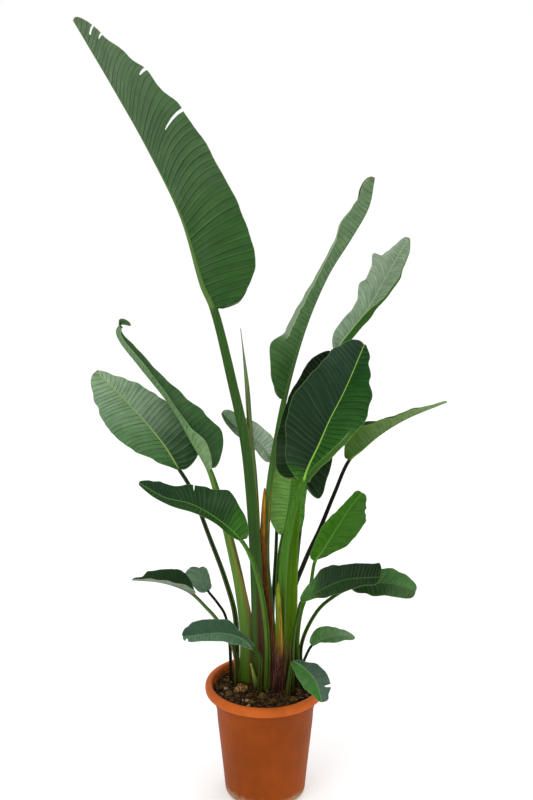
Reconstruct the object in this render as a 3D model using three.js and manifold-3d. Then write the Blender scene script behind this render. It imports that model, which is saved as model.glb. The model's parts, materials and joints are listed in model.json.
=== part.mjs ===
import * as THREE from "three";
import { ConvexGeometry } from "three/addons/geometries/ConvexGeometry.js";
import { mergeVertices } from "three/addons/utils/BufferGeometryUtils.js";
import Module from "manifold-3d";

// A young giant bird of paradise in a terracotta-coloured nursery pot.
// Millimetres, +Z up. The middle of the pot's underside is the origin and the plant's wide side faces -Y.

const wasm = await Module();
wasm.setup();
const { Manifold, Mesh: SolidMesh } = wasm;

// Pot: a tapered plastic pot with a thick rolled rim.
const potHeight = 260;
const rimRadius = 130.5;
const rimDepth = 21;
const bodyTopRadius = 108.5;
const bodyFootRadius = 88;
const wall = 3;
const floorThickness = 4;
const sides = 36;

// Soil: fills the pot to a little under the rim.
const soilTop = 243;
const soilRoughness = 3;
const soilClearance = 0.3;
const stemFoot = 216;
const holeClearance = 0.5;

// Leaves: one skin thickness for every blade.
const bladeSkin = 1.2;
const ribSmallest = 1.4;
const channelFold = 63;

const radians = THREE.MathUtils.degToRad;
const clamp = THREE.MathUtils.clamp;
const vec = (p) => new THREE.Vector3(p[0], p[1], p[2]);

// Reads evenly spaced values at x from 0 to 1, eased from each to the next.
function between(values, x) {
  const last = values.length - 1;
  const place = clamp(x, 0, 1) * last;
  const i = Math.min(Math.floor(place), last - 1);
  const f = place - i;
  const ease = f * f * (3 - 2 * f);
  return values[i] * (1 - ease) + values[i + 1] * ease;
}

// Rises like a quarter circle from 0 at x = 0 to 1 at x = 1.
function quarterCircle(x) {
  const rest = 1 - clamp(x, 0, 1);
  return Math.sqrt(Math.max(1 - rest * rest, 0));
}

// A repeatable number between -1 and 1 for two whole numbers.
function grain(a, b) {
  const s = Math.sin(a * 12.99 + b * 78.23) * 4375.5;
  return 2 * (s - Math.floor(s)) - 1;
}

// Half of a blade: its width from the midrib and how it folds up, curls and sweeps along the leaf.
// neck and point are the shares of the length over which the blade rounds off at its base and tip.
function half(width, fold, more = {}) {
  return {
    width,
    fold,
    curl: [0, 0],
    shape: [1, 1],
    sweep: [-0.2, 0.15, 0.35, 0.5, 0.5],
    neck: 0.2,
    point: 0.7,
    wave: 2.5,
    waves: 6,
    ...more,
  };
}

// stalk runs from the foot in the soil to the blade, rib along the midrib to the tip.
// up is where the top of the blade faces at its base, middle and tip.
// stem is the stalk's radius under the blade and at the foot.
// tears are cuts from the margin: side, place along the leaf, depth left uncut, half width of the cut.
const leaves = {
  giant_leaf: {
    stalk: [
      [-8, 22, stemFoot], [-14, 20, 348], [-20, 22, 534],
      [-30, 24, 692], [-42, 24, 802], [-66, 22, 920],
    ],
    rib: [
      [-104, 20, 1082], [-124, 18, 1128], [-164, 14, 1264],
      [-228, 6, 1400], [-288, -6, 1512], [-358, -30, 1640],
    ],
    up: [[0.9, 0.2, 0.4], [0.9, 0.2, 0.4]],
    stem: [8.5, 15],
    taper: 0.9,
    left: half(134, [60, 60], {
      shape: [1.1, 0.97, 0.9, 0.86, 0.76, 0.63, 0.48, 0.38, 0.32],
      sweep: [0, 0.3, 0.7, 0.9, 0.9],
      neck: 0.14,
      point: 0.4,
      wave: 5,
    }),
    right: half(120, [58, 58], {
      shape: [1, 0.97, 0.84, 0.66, 0.5, 0.46, 0.36, 0.24, 0.16],
      sweep: [-0.35, 0.1, 0.5, 0.8, 0.9],
      neck: 0.1,
      point: 0.4,
      wave: 5,
    }),
    tears: [
      [-1, 0.935, 0.12, 0.0045], [-1, 0.885, 0.75, 0.004],
      [-1, 0.665, 0.78, 0.006], [-1, 0.5, 0.5, 0.0055],
    ],
    across: 3,
    rows: 19,
    colour: 0x3f6b3a,
  },
  curled_leaf: {
    stalk: [[24, 24, stemFoot], [10, 32, 424], [2, 40, 526], [8, 48, 682], [22, 52, 782]],
    rib: [
      [40, 56, 880], [74, 56, 1005], [99, 54, 1076], [132, 50, 1150],
      [175, 47, 1221], [207, 44, 1282], [217, 40, 1340],
    ],
    up: [[-0.93, 0.1, 0.37], [-0.93, 0.1, 0.37]],
    stem: [6, 10],
    left: half(58, [45, 45, 60, 60], {
      curl: [0, 20, 20],
      shape: [1.1, 1.05, 0.8, 0.5, 0.42, 0.4, 0.38, 0.44, 0.4],
      sweep: [0, 0.3, 0.4, 0.3, 0.3],
      point: 0.1,
    }),
    right: half(66, [60, 70, 70], {
      curl: [0, 50, 55],
      shape: [0.63, 0.84, 0.95, 0.57, 0.5, 0.42, 0.34, 0.35, 0.4, 0.55, 0.49, 0.38, 0.39],
      sweep: [0.1, 0.45, 0.4, 0.3, 0.2],
      point: 0.1,
    }),
    across: 3,
    rows: 15,
    colour: 0x476f45,
  },
  pale_leaf: {
    stalk: [[54, 44, stemFoot], [58, 70, 374], [78, 100, 596], [114, 108, 842]],
    rib: [[150, 104, 972], [182, 96, 1022], [208, 88, 1058], [250, 78, 1138], [290, 60, 1218]],
    up: [[-0.1, -0.9, 0.4], [-0.1, -0.9, 0.4]],
    stem: [4, 8],
    left: half(38, [25, 25, 35], {
      shape: [0.65, 0.72, 0.75, 0.7, 0.8, 1.15, 0.95, 1, 1.3, 0.8, 0.7, 0.64, 0.75],
      sweep: [0.3, 0.6, 0.8, 0.6, 0.2],
      neck: 0.12,
      point: 0.35,
    }),
    right: half(36, [25, 30, 30], {
      curl: [10, 30, 70, 50, 20],
      shape: [0.6, 0.5, 0.55, 0.7, 1.35, 1.35, 1.05, 0.95, 0.75],
      sweep: [0.2, 0.4, 0.6, 0.6, 0.4],
      neck: 0.12,
      point: 0.35,
    }),
    colour: 0x6b8b6c,
  },
  broad_leaf: {
    stalk: [[28, -10, stemFoot], [34, -8, 390], [40, -12, 548], [58, -22, 664], [78, -30, 722]],
    rib: [[88, -34, 758], [110, -44, 814], [130, -54, 868], [158, -62, 930], [190, -60, 1010]],
    up: [[-0.1, -0.85, 0.5], [0, -0.9, 0.4], [0.1, -1, 0.2]],
    stem: [5.5, 10],
    left: half(90, [8, 12, 10], {
      curl: [10, 10],
      shape: [1, 1, 0.92, 0.8],
      sweep: [-0.3, 0, 0.2, 0.3],
      neck: 0.35,
      point: 0.6,
    }),
    right: half(72, [70, 50, 40, 40], {
      shape: [1, 1.1, 1, 0.8],
      sweep: [-0.1, 0, 0.1, 0.1],
      neck: 0.25,
      point: 0.4,
    }),
    across: 3,
    rows: 15,
    colour: 0x2c5a33,
  },
  dark_leaf: {
    stalk: [[50, 16, stemFoot], [56, 12, 434], [58, 8, 540], [64, 8, 652]],
    rib: [[74, 12, 726], [92, 16, 804], [108, 18, 890], [138, 20, 990]],
    up: [[0, -0.9, 0.3], [0, -0.9, 0.3]],
    stem: [5.5, 10],
    left: half(76, [12, 10], {
      shape: [1.1, 0.95, 0.9, 0.8, 0.68, 0.68, 0.56],
      sweep: [-0.4, 0.1, 0.4, 0.5, 0.4],
      neck: 0.3,
      point: 0.5,
    }),
    right: half(54, [12, 10], {
      shape: [1.5, 1.1, 0.95, 0.97, 0.92, 0.9, 1.2],
      sweep: [-0.8, -0.1, 0.3, 0.4, 0.4],
      neck: 0.22,
      point: 0.5,
    }),
    colour: 0x1f3d26,
  },
  drooping_leaf: {
    stalk: [[70, 32, stemFoot], [58, 34, 436], [86, 38, 526], [118, 42, 600], [146, 44, 674]],
    rib: [[178, 48, 750], [202, 46, 772], [238, 40, 806], [290, 28, 844], [372, 0, 890]],
    up: [[-0.5, 0.2, 0.85], [-0.5, 0.2, 0.85]],
    stem: [4, 7],
    left: half(34, [45, 45], {
      shape: [1.1, 1.8, 1.5, 1, 0.65, 0.6, 0.4, 0.33, 0.38],
      sweep: [-0.1, 0.1, 0.4, 0.6, 0.6],
      neck: 0.12,
      point: 0.5,
    }),
    right: half(38, [45, 45], {
      shape: [0.8, 1.3, 1.5, 1.2, 0.65, 0.65, 0.45, 0.38, 0.42],
      sweep: [-0.1, 0.1, 0.4, 0.6, 0.6],
      neck: 0.12,
      point: 0.5,
    }),
    colour: 0x648b3e,
  },
  lime_leaf: {
    stalk: [[72, 6, stemFoot], [70, 0, 358], [78, -6, 430], [96, -12, 486]],
    rib: [[106, -18, 548], [122, -20, 574], [152, -22, 628], [176, -22, 668], [200, -22, 702]],
    up: [[-0.25, 0.9, 0.35], [-0.25, 0.9, 0.35]],
    stem: [3.2, 6],
    left: half(54, [15, 15], {
      shape: [0.3, 0.6, 1.2, 1.28, 1.38, 1.17, 0.91, 0.65, 0.64],
      sweep: [-0.1, 0.1, 0.3, 0.2, 0.1],
      neck: 0.3,
      point: 0.2,
    }),
    right: half(32, [20, 20], {
      shape: [0.87, 0.85, 0.82, 0.93, 0.77, 0.62, 0.5, 0.48, 0.65],
      sweep: [-0.3, 0.1, 0.4, 0.4, 0.3],
      neck: 0.3,
      point: 0.2,
    }),
    colour: 0x3f7a2c,
  },
  right_leaf: {
    stalk: [[58, -14, stemFoot], [60, -22, 368], [70, -36, 432]],
    rib: [[78, -48, 470], [110, -66, 500], [162, -90, 536], [234, -120, 556]],
    up: [[-0.2, -0.6, 0.8], [-0.2, -0.6, 0.8]],
    stem: [3.2, 7],
    left: half(40, [10, 10], {
      shape: [0.55, 0.8, 1.05, 1.03, 0.8, 0.8, 0.77, 0.75, 0.8],
      sweep: [0.1, 0.4, 0.5, 0.4, 0.2],
      neck: 0.3,
      point: 0.08,
    }),
    right: half(36, [10, 10], {
      shape: [0.49, 0.4, 0.74, 0.92, 0.76, 0.55, 0.6],
      sweep: [0.2, 0.3, 0.4, 0.3, 0.1],
      neck: 0.3,
      point: 0.1,
    }),
    colour: 0x2a5533,
  },
  far_right_leaf: {
    stalk: [[86, 22, stemFoot], [77, 17, 316], [86, 7, 368], [116, -4, 432], [148, -14, 466]],
    rib: [[184, -24, 492], [220, -36, 506], [266, -52, 510], [312, -70, 502]],
    up: [[0, -0.6, 0.8], [0, -0.6, 0.8]],
    stem: [3.2, 5],
    left: half(36, [10, 10], {
      shape: [1, 1, 0.87, 0.94, 0.78, 0.66, 0.65],
      sweep: [0, 0.2, 0.4, 0.4, 0.3],
      neck: 0.3,
      point: 0.3,
    }),
    right: half(32, [10, 10], {
      shape: [1, 0.85, 1.13, 1.07, 1, 0.9, 1.1],
      sweep: [0, 0.2, 0.4, 0.4, 0.3],
      neck: 0.3,
      point: 0.3,
    }),
    colour: 0x33633b,
  },
  small_right_leaf: {
    stalk: [[86, -4, stemFoot], [80, -6, 292], [88, -8, 322]],
    rib: [[102, -10, 350], [128, -18, 370], [160, -30, 382], [190, -42, 382]],
    up: [[0, -0.5, 0.8], [0, -0.5, 0.8]],
    stem: [2.5, 4],
    left: half(21, [20, 20], {
      shape: [1, 1.28, 1.22, 0.92, 0.76, 0.72, 0.66],
      sweep: [0, 0.2, 0.4, 0.4, 0.3],
      wave: 1.5,
    }),
    right: half(19, [5, 5], {
      shape: [0.3, 0.25, 0.65, 1.05, 0.95, 0.68, 0.8],
      sweep: [0, 0.2, 0.4, 0.4, 0.3],
      wave: 1.5,
    }),
    colour: 0x35683c,
  },
  low_right_leaf: {
    stalk: [[48, -38, stemFoot], [49, -42, 262]],
    rib: [[60, -52, 330], [82, -72, 328], [106, -102, 312], [118, -130, 280]],
    up: [[0.3, -0.4, 0.8], [0.3, -0.8, 0.6]],
    stem: [3.5, 5],
    left: half(34, [10, 10], {
      shape: [0.35, 0.5, 0.85, 0.85, 0.81, 0.66, 0.85],
      sweep: [0, 0.2, 0.4, 0.4, 0.3],
      neck: 0.3,
      point: 0.4,
      wave: 1.5,
    }),
    right: half(40, [10, 10], {
      shape: [0.6, 0.72, 0.91, 0.95, 0.72, 0.46, 0.36],
      sweep: [0, 0.2, 0.4, 0.4, 0.3],
      neck: 0.3,
      point: 0.4,
      wave: 1.5,
    }),
    tears: [[-1, 0.68, 0.45, 0.022]],
    colour: 0x3b713f,
  },
  rolled_leaf: {
    stalk: [[-46, 30, stemFoot], [-42, 30, 342], [-54, 30, 460], [-74, 30, 564], [-98, 28, 668]],
    rib: [
      [-118, 26, 736], [-150, 22, 796], [-192, 16, 874],
      [-254, 4, 962], [-294, -6, 1022], [-298, -11, 1042],
      [-288, -16, 1055], [-268, -20, 1054],
    ],
    up: [[0.8, -0.4, 0.5], [0.8, -0.4, 0.5]],
    stem: [5.5, 13.5],
    left: half(52, [62, 62, 60, 60], {
      shape: [0.65, 1, 0.45, 0.33, 0.42, 0.52, 0.5, 0.45, 0.4],
      sweep: [0.2, 0.4, 0.5, 0.5, 0.4],
      neck: 0.15,
      point: 0.3,
    }),
    right: half(88, [50, 50], {
      shape: [0.56, 0.74, 0.59, 0.4, 0.29, 0.25, 0.22, 0.17, 0.13],
      sweep: [-0.1, 0.2, 0.5, 0.5, 0.4],
      neck: 0.15,
      point: 0.3,
    }),
    across: 3,
    rows: 15,
    colour: 0x33602f,
  },
  sheen_leaf: {
    stalk: [[-64, 42, stemFoot], [-65, 41, 390], [-86, 42, 478], [-120, 44, 578], [-160, 42, 692]],
    rib: [[-182, 40, 732], [-212, 30, 790], [-274, 12, 876], [-340, -20, 960]],
    up: [[0.1, -0.7, 0.7], [0.1, -0.7, 0.7]],
    stem: [4, 7],
    left: half(68, [10, 10], {
      shape: [0.4, 0.7, 0.98, 1.12, 1.15, 1.07, 0.89, 0.72, 0.67],
      sweep: [0.3, 0.5, 0.6, 0.6, 0.5],
      neck: 0.3,
      point: 0.25,
    }),
    right: half(60, [20, 20], {
      shape: [0.85, 1.12, 1.13, 1.08, 0.92, 0.76, 0.56, 0.4, 0.28],
      sweep: [-0.3, 0, 0.2, 0.4, 0.5],
      neck: 0.15,
      point: 0.4,
    }),
    across: 3,
    rows: 15,
    colour: 0x5c8560,
  },
  left_front_leaf: {
    stalk: [[2, -12, stemFoot], [4, -16, 364], [-10, -26, 486], [-32, -36, 568]],
    rib: [[-50, -42, 604], [-94, -56, 654], [-150, -74, 696], [-202, -90, 716], [-252, -100, 750]],
    up: [[0.3, -0.4, 0.85], [0.3, -0.4, 0.85]],
    stem: [4, 7],
    left: half(24, [10, 5], {
      shape: [1, 1, 0.8, 1.1, 0.95, 0.8, 0.85],
      sweep: [0, 0.2, 0.4, 0.5, 0.5],
      point: 0.5,
    }),
    right: half(52, [20, 20], {
      shape: [0.85, 1.1, 1.35, 1.02, 0.8, 0.62, 0.68, 0.54, 0.4],
      sweep: [-0.3, 0.1, 0.4, 0.6, 0.6],
      point: 0.5,
    }),
    tears: [[1, 0.49, 0.72, 0.006]],
    colour: 0x2f5f35,
  },
  low_left_leaf: {
    stalk: [[-12, -24, stemFoot], [-12, -28, 270], [-12, -40, 338]],
    rib: [[-28, -52, 364], [-52, -70, 396], [-90, -92, 418], [-128, -110, 424], [-168, -126, 426]],
    up: [[0.1, -0.6, 0.8], [0.1, -0.6, 0.8]],
    stem: [3.5, 5],
    left: half(22, [10, 10], {
      shape: [0.5, 0.8, 1.07, 1, 0.85, 0.75, 0.75],
      sweep: [0, 0.3, 0.5, 0.6, 0.6],
      neck: 0.3,
      point: 0.2,
      wave: 1.5,
    }),
    right: half(31, [15, 15], {
      shape: [0.6, 0.45, 0.45, 0.99, 0.9, 0.99, 0.9, 0.66, 0.5],
      sweep: [0, 0.3, 0.5, 0.6, 0.6],
      neck: 0.3,
      point: 0.2,
      wave: 1.5,
    }),
    tears: [[-1, 0.93, 0.45, 0.02]],
    colour: 0x34603a,
  },
  left_pale_leaf: {
    stalk: [[-62, 12, stemFoot], [-68, 13, 326], [-104, 10, 400], [-128, 2, 434]],
    rib: [[-156, -6, 468], [-186, -20, 490], [-226, -36, 508], [-276, -54, 520]],
    up: [[0.1, -0.3, 1], [0.1, -0.3, 1]],
    stem: [3.2, 5],
    left: half(30, [50, 50], { neck: 0.25 }),
    right: half(34, [30, 30], { shape: [0.75, 1.2, 1.1, 0.88, 0.78, 0.4, 0.45], neck: 0.25 }),
    colour: 0x4f7350,
  },
  left_round_leaf: {
    stalk: [[-76, 32, stemFoot], [-78, 40, 330], [-88, 52, 392], [-106, 58, 420]],
    rib: [[-126, 62, 446], [-136, 72, 466], [-144, 90, 486]],
    up: [[0.2, -0.9, 0.5], [0.2, -0.9, 0.5]],
    stem: [2.5, 4],
    left: half(27, [10, 10], { shape: [1, 1, 1.4, 1.1, 1], neck: 0.4, point: 0.4, wave: 1 }),
    right: half(27, [10, 10], { shape: [0.8, 0.6, 0.63, 0.6, 0.6], neck: 0.4, point: 0.4, wave: 1 }),
    colour: 0x58756b,
  },
  behind_left_leaf: {
    stalk: [[24, 64, stemFoot], [16, 76, 368], [24, 86, 554], [24, 88, 668]],
    rib: [[12, 86, 738], [-24, 78, 788], [-60, 66, 816], [-90, 54, 852]],
    up: [[0.2, -0.8, 0.6], [0.2, -0.8, 0.6]],
    stem: [3, 5],
    left: half(26, [30, 30]),
    right: half(30, [30, 30]),
    colour: 0x6d8c73,
  },
  light_leaf: {
    stalk: [[38, 52, stemFoot], [26, 64, 422], [30, 74, 522]],
    rib: [[38, 80, 570], [50, 86, 646], [58, 86, 726], [66, 80, 816]],
    up: [[0, -0.9, 0.3], [0, -0.9, 0.3]],
    stem: [3, 5],
    left: half(30, [20, 20], {
      shape: [0.72, 1.2, 1.4, 1.45, 1.2, 1.04, 1],
      sweep: [-0.2, 0.2, 0.6, 0.8],
      neck: 0.15,
      point: 0.6,
    }),
    right: half(43, [20, 20], {
      shape: [1, 0.98, 0.88, 0.92, 0.66, 0.42, 0.55],
      sweep: [-0.2, 0.2, 0.6, 0.8],
      neck: 0.15,
      point: 0.6,
    }),
    colour: 0x5a8a4e,
  },
};

// Dry sheaths hug the foot of a stalk: whose stalk, how far up, how far out, and the arc they cover.
// turn is the middle of the arc in degrees round the stalk, 0 to the right and 270 to the front.
const sheaths = {
  orange_sheath: { around: "curled_leaf", top: 690, gap: 4, arc: 200, turn: 190, colour: 0xb08a3c },
  green_sheath: { around: "broad_leaf", top: 500, gap: 2, arc: 210, turn: 215, colour: 0x7d8f3a },
  fibrous_sheath: { around: "broad_leaf", top: 362, gap: 5.5, arc: 250, turn: 260, colour: 0x5b3335 },
};

// Rods: the rolled new leaf and a cut stub, each as points with a radius.
const rods = {
  spear: {
    points: [
      [0, 50, stemFoot], [-14, 48, 440], [-20, 48, 650],
      [-32, 47, 830], [-38, 46, 920], [-50, 44, 1034],
    ],
    radii: [5, 6.5, 7.5, 7, 5.5, 0.8],
    colour: 0x5a7d3a,
  },
  stub: {
    points: [[-18, 0, stemFoot], [-22, 1, 262], [-31, 2, 300]],
    radii: [4.5, 5, 2],
    colour: 0x7f8f3c,
  },
};

// Triangles over a ring, which can be hollow on one side. They face the way that the ring turns.
function capOf(ring) {
  const middle = new THREE.Vector3();
  ring.forEach((p) => middle.addScaledVector(p, 1 / ring.length));
  const arms = ring.map((p) => p.clone().sub(middle));
  const normal = new THREE.Vector3();
  arms.forEach((arm, j) => normal.add(arm.clone().cross(arms[(j + 1) % arms.length])));
  normal.normalize();
  const across = new THREE.Vector3(1, 0, 0);
  if (Math.abs(normal.x) > 0.8) across.set(0, 1, 0);
  across.addScaledVector(normal, -across.dot(normal)).normalize();
  const over = normal.clone().cross(across);
  const flat = arms.map((arm) => new THREE.Vector2(arm.dot(across), arm.dot(over)));
  return THREE.ShapeUtils.triangulateShape(flat, []).map(([a, b, c]) => {
    const turn = flat[b].clone().sub(flat[a]).cross(flat[c].clone().sub(flat[a]));
    return turn > 0 ? [a, b, c] : [a, c, b];
  });
}

// Joins rings of equal length, and caps both ends, into one closed surface.
// The first ring is the foot, and each ring runs clockwise seen from the tip.
// The second half of a ring lies over the first, and its quads are split the same way as those below.
function loft(rings) {
  const size = rings[0].length;
  const positions = rings.flat().flatMap((p) => [p.x, p.y, p.z]);
  const index = [];
  for (let i = 0; i + 1 < rings.length; i++) {
    for (let j = 0; j < size; j++) {
      const a = i * size + j;
      const b = i * size + ((j + 1) % size);
      if (2 * j < size) {
        index.push(a, b + size, b, a, a + size, b + size);
      } else {
        index.push(a, a + size, b, b, a + size, b + size);
      }
    }
  }
  const last = (rings.length - 1) * size;
  for (const [a, b, c] of capOf(rings[0])) index.push(a, b, c);
  for (const [a, b, c] of capOf(rings.at(-1))) index.push(last + a, last + c, last + b);
  const geometry = new THREE.BufferGeometry();
  geometry.setAttribute("position", new THREE.Float32BufferAttribute(positions, 3));
  geometry.setIndex(index);
  return geometry;
}

// The centreline of a leaf with its frame: along, out to the right half, and up from the blade.
function centreline(leaf) {
  const points = [...leaf.stalk, ...leaf.rib].map(vec);
  const curve = new THREE.CatmullRomCurve3(points, false, "centripetal");
  curve.arcLengthDivisions = 400;
  const lengths = curve.getLengths();
  const total = curve.getLength();
  const start = lengths[Math.round((400 * leaf.stalk.length) / (points.length - 1))] / total;
  return (t) => {
    const share = t < 0 ? start * (1 + t) : start + (1 - start) * t;
    const centre = curve.getPointAt(clamp(share, 0, 1));
    const along = curve.getTangentAt(clamp(share, 0, 1));
    const up = new THREE.Vector3(
      between(leaf.up.map((p) => p[0]), t),
      between(leaf.up.map((p) => p[1]), t),
      between(leaf.up.map((p) => p[2]), t),
    );
    up.addScaledVector(along, -up.dot(along)).normalize();
    const side = new THREE.Vector3().crossVectors(along, up);
    return { centre, along, up, side };
  };
}

function stalkRadius(leaf, t) {
  const [thin, thick] = leaf.stem;
  if (t < 0) return thin + (thick - thin) * (-t) ** (leaf.taper ?? 1.2);
  return ribSmallest + 0.9 * thin * (1 - t) ** 0.7;
}

// Places along the leaf, from -1 at the foot, by 0 at the blade, to 1 at the tip; closer at both blade ends.
function rowPlaces(leaf) {
  const stalkRows = 5;
  const bladeRows = leaf.rows ?? 11;
  const places = [];
  for (let i = 0; i < stalkRows; i++) places.push(i / stalkRows - 1);
  for (let i = 0; i <= bladeRows; i++) {
    const s = i / bladeRows;
    places.push(0.2 * s + 0.8 * (0.5 - 0.5 * Math.cos(Math.PI * s)));
  }
  for (const [, at, , gap] of leaf.tears ?? []) {
    for (let i = places.length - 1; i >= 0; i--) {
      if (Math.abs(places[i] - at) < 1.4 * gap) places.splice(i, 1);
    }
    places.push(at - gap, at, at + gap);
  }
  return places.sort((a, b) => a - b);
}

// One point of the blade's top, v from 0 at the midrib to 1 at the margin.
function bladePoint(leaf, sideSign, frame, t, v) {
  const shape = sideSign < 0 ? leaf.left : leaf.right;
  const u = clamp(t, 0, 1);
  const root = Math.exp(-40 * u);
  const rounding = quarterCircle(u / shape.neck) * quarterCircle((1 - u) / shape.point);
  const blade = t > 0 ? shape.width * between(shape.shape, u) * rounding : 0;
  const channel = stalkRadius(leaf, Math.min(t, 0)) * (t < 0 ? 1 : Math.exp(-60 * u));
  const width = Math.max(blade + channel, bladeSkin);
  const fold = radians(channelFold * root + between(shape.fold, u) * (1 - root));
  const curl = radians(15 * root + between(shape.curl, u) * (1 - root)) + 1e-4;
  const cut = (leaf.tears ?? []).find((tear) => tear[0] === sideSign && Math.abs(tear[1] - t) < 1e-9);
  const reach = cut ? v * cut[2] : v;
  const out = (width * (Math.sin(fold + curl * reach) - Math.sin(fold))) / curl;
  const rise = (width * (Math.cos(fold) - Math.cos(fold + curl * reach))) / curl;
  const swell = Math.sin(2 * Math.PI * shape.waves * u + reach) * reach ** 2;
  const ripple = shape.wave * swell * (blade / shape.width);
  const sweep = blade * between(shape.sweep, u) * (1 - (1 - reach) ** 2);
  return frame.centre
    .clone()
    .addScaledVector(frame.side, sideSign * out)
    .addScaledVector(frame.up, rise + ripple)
    .addScaledVector(frame.along, sweep);
}

// Stalk and blade in one closed loft: the channelled stalk opens into the two halves of the blade.
function leafRings(leaf) {
  const across = leaf.across ?? 2;
  const places = rowPlaces(leaf);
  const at = centreline(leaf);
  const frames = places.map(at);
  const tops = places.map((t, i) => {
    const row = [];
    for (let j = across; j > 0; j--) row.push(bladePoint(leaf, -1, frames[i], t, j / across));
    for (let j = 0; j <= across; j++) row.push(bladePoint(leaf, 1, frames[i], t, j / across));
    return row;
  });
  return tops.map((top, i) => {
    const t = places[i];
    const { centre, along, up, side } = frames[i];
    const radius = stalkRadius(leaf, t);
    const thin = leaf.stem[0];
    const skin = t < 0 ? 0.45 * radius + 1 : bladeSkin + (0.45 * thin - 0.2) * Math.exp(-40 * t);
    const before = tops[Math.max(i - 1, 0)];
    const after = tops[Math.min(i + 1, tops.length - 1)];
    const under = top.map((p, j) => {
      const lengthways = after[j].clone().sub(before[j]);
      const sideways = top[Math.min(j + 1, 2 * across)].clone().sub(top[Math.max(j - 1, 0)]);
      const down = lengthways.cross(sideways).normalize();
      if (down.dot(along.clone().cross(sideways)) < 0) down.negate();
      return p.clone().addScaledVector(down, skin);
    });
    const belly = [0.62, 0, -0.62].map((angle) =>
      centre
        .clone()
        .addScaledVector(side, radius * Math.sin(angle))
        .addScaledVector(up, -radius * Math.cos(angle)),
    );
    const underRight = under.slice(across + 1).reverse();
    const underLeft = under.slice(0, across).reverse();
    return [...underLeft.reverse(), ...belly.reverse(), ...underRight.reverse(), ...top.reverse()];
  });
}

// A strip of tube round a stalk's foot that narrows to a tip.
function sheathRings(sheath) {
  const leaf = leaves[sheath.around];
  const at = centreline(leaf);
  const foot = leaf.stalk[0][2];
  const rows = 7;
  const parts = 6;
  const places = [];
  for (let t = -1; t < 0 && at(t).centre.z < sheath.top; t += 0.01) places.push(t);
  const rings = [];
  for (let i = 0; i <= rows; i++) {
    const share = i / rows;
    const t = places[Math.round(share * (places.length - 1))];
    const { centre } = at(t);
    const inner = stalkRadius(leaf, t) * 1.05 + sheath.gap;
    const spread = radians(sheath.arc * Math.max(Math.sqrt(1 - share), 0.06)) / 2;
    const inside = [];
    const outside = [];
    for (let j = 0; j <= parts; j++) {
      const angle = radians(sheath.turn) + spread * ((2 * j) / parts - 1);
      const arm = new THREE.Vector3(Math.cos(angle), Math.sin(angle), 0);
      inside.push(centre.clone().addScaledVector(arm, inner));
      outside.push(centre.clone().addScaledVector(arm, inner + bladeSkin));
    }
    rings.push([...inside, ...outside.reverse()]);
  }
  rings[0].forEach((p) => (p.z = foot));
  return rings;
}

function rodRings(rod) {
  const curve = new THREE.CatmullRomCurve3(rod.points.map(vec), false, "centripetal");
  const rows = 9;
  const edges = 8;
  const rings = [];
  for (let i = 0; i <= rows; i++) {
    const share = i / rows;
    const centre = curve.getPoint(share);
    const radius = between(rod.radii, share);
    const ring = [];
    for (let j = 0; j < edges; j++) {
      const angle = (-2 * Math.PI * j) / edges;
      const arm = new THREE.Vector3(Math.cos(angle), Math.sin(angle), 0);
      ring.push(centre.clone().addScaledVector(arm, radius));
    }
    rings.push(ring);
  }
  return rings;
}

// The room that a stem's foot needs in the soil: the hull of its rings up to the first clear of the soil.
function footHole(rings) {
  const points = [];
  for (const ring of rings) {
    const middle = new THREE.Vector3();
    ring.forEach((p) => middle.addScaledVector(p, 1 / ring.length));
    for (const p of ring) {
      const out = p.clone().sub(middle);
      const grown = middle.clone().addScaledVector(out, 1 + holeClearance / Math.max(out.length(), 1));
      if (ring === rings[0]) grown.z -= holeClearance;
      points.push(grown);
    }
    if (middle.z > soilTop + 12) break;
  }
  return solidOf(new ConvexGeometry(points));
}

// A closed geometry as a solid that can be joined and cut.
function solidOf(geometry) {
  geometry.deleteAttribute("normal");
  geometry.deleteAttribute("uv");
  const merged = mergeVertices(geometry, 1e-3);
  const mesh = new SolidMesh({
    numProp: 3,
    vertProperties: merged.getAttribute("position").array,
    triVerts: new Uint32Array(merged.index.array),
  });
  return new Manifold(mesh);
}

function geometryOf(solid) {
  const mesh = solid.getMesh();
  const geometry = new THREE.BufferGeometry();
  geometry.setAttribute("position", new THREE.BufferAttribute(mesh.vertProperties, 3));
  geometry.setIndex(new THREE.BufferAttribute(mesh.triVerts, 1));
  return geometry;
}

// Turns an outline of [radius, height] points, which starts and ends on the pot's axis.
function turned(outline) {
  const points = outline.map(([radius, height]) => new THREE.Vector2(radius, height));
  return new THREE.LatheGeometry(points, sides).rotateX(Math.PI / 2);
}

// Outside radius of the pot's body at a height.
function bodyRadius(z) {
  const share = (z - 8) / (potHeight - rimDepth - 8);
  return bodyFootRadius + (bodyTopRadius - bodyFootRadius) * share;
}

const neck = potHeight - rimDepth;

// The pot's inside from the rim down to the floor.
const inside = [
  [rimRadius - 14, potHeight],
  [rimRadius - 18, potHeight - 4],
  [bodyTopRadius + 2, soilTop + 4],
  [bodyTopRadius - wall, neck - 6],
  [bodyRadius(8) - wall, 9],
  [bodyRadius(8) - wall - 5, floorThickness],
  [0, floorThickness],
];

function potGeometry() {
  const step = neck - 34;
  const outside = [
    [0, 0],
    [bodyFootRadius - 7, 0],
    [bodyFootRadius - 2.5, 2.5],
    [bodyFootRadius, 8],
    [bodyRadius(step) - 0.8, step],
    [bodyRadius(step) + 0.4, step + 3],
    [bodyTopRadius, neck],
    [rimRadius - 5, neck + 1],
    [rimRadius - 1.5, neck + 4],
    [rimRadius, neck + 10],
    [rimRadius - 1.5, neck + 16],
    [rimRadius - 6, potHeight - 1],
  ];
  return turned([...outside, ...inside]);
}

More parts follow.
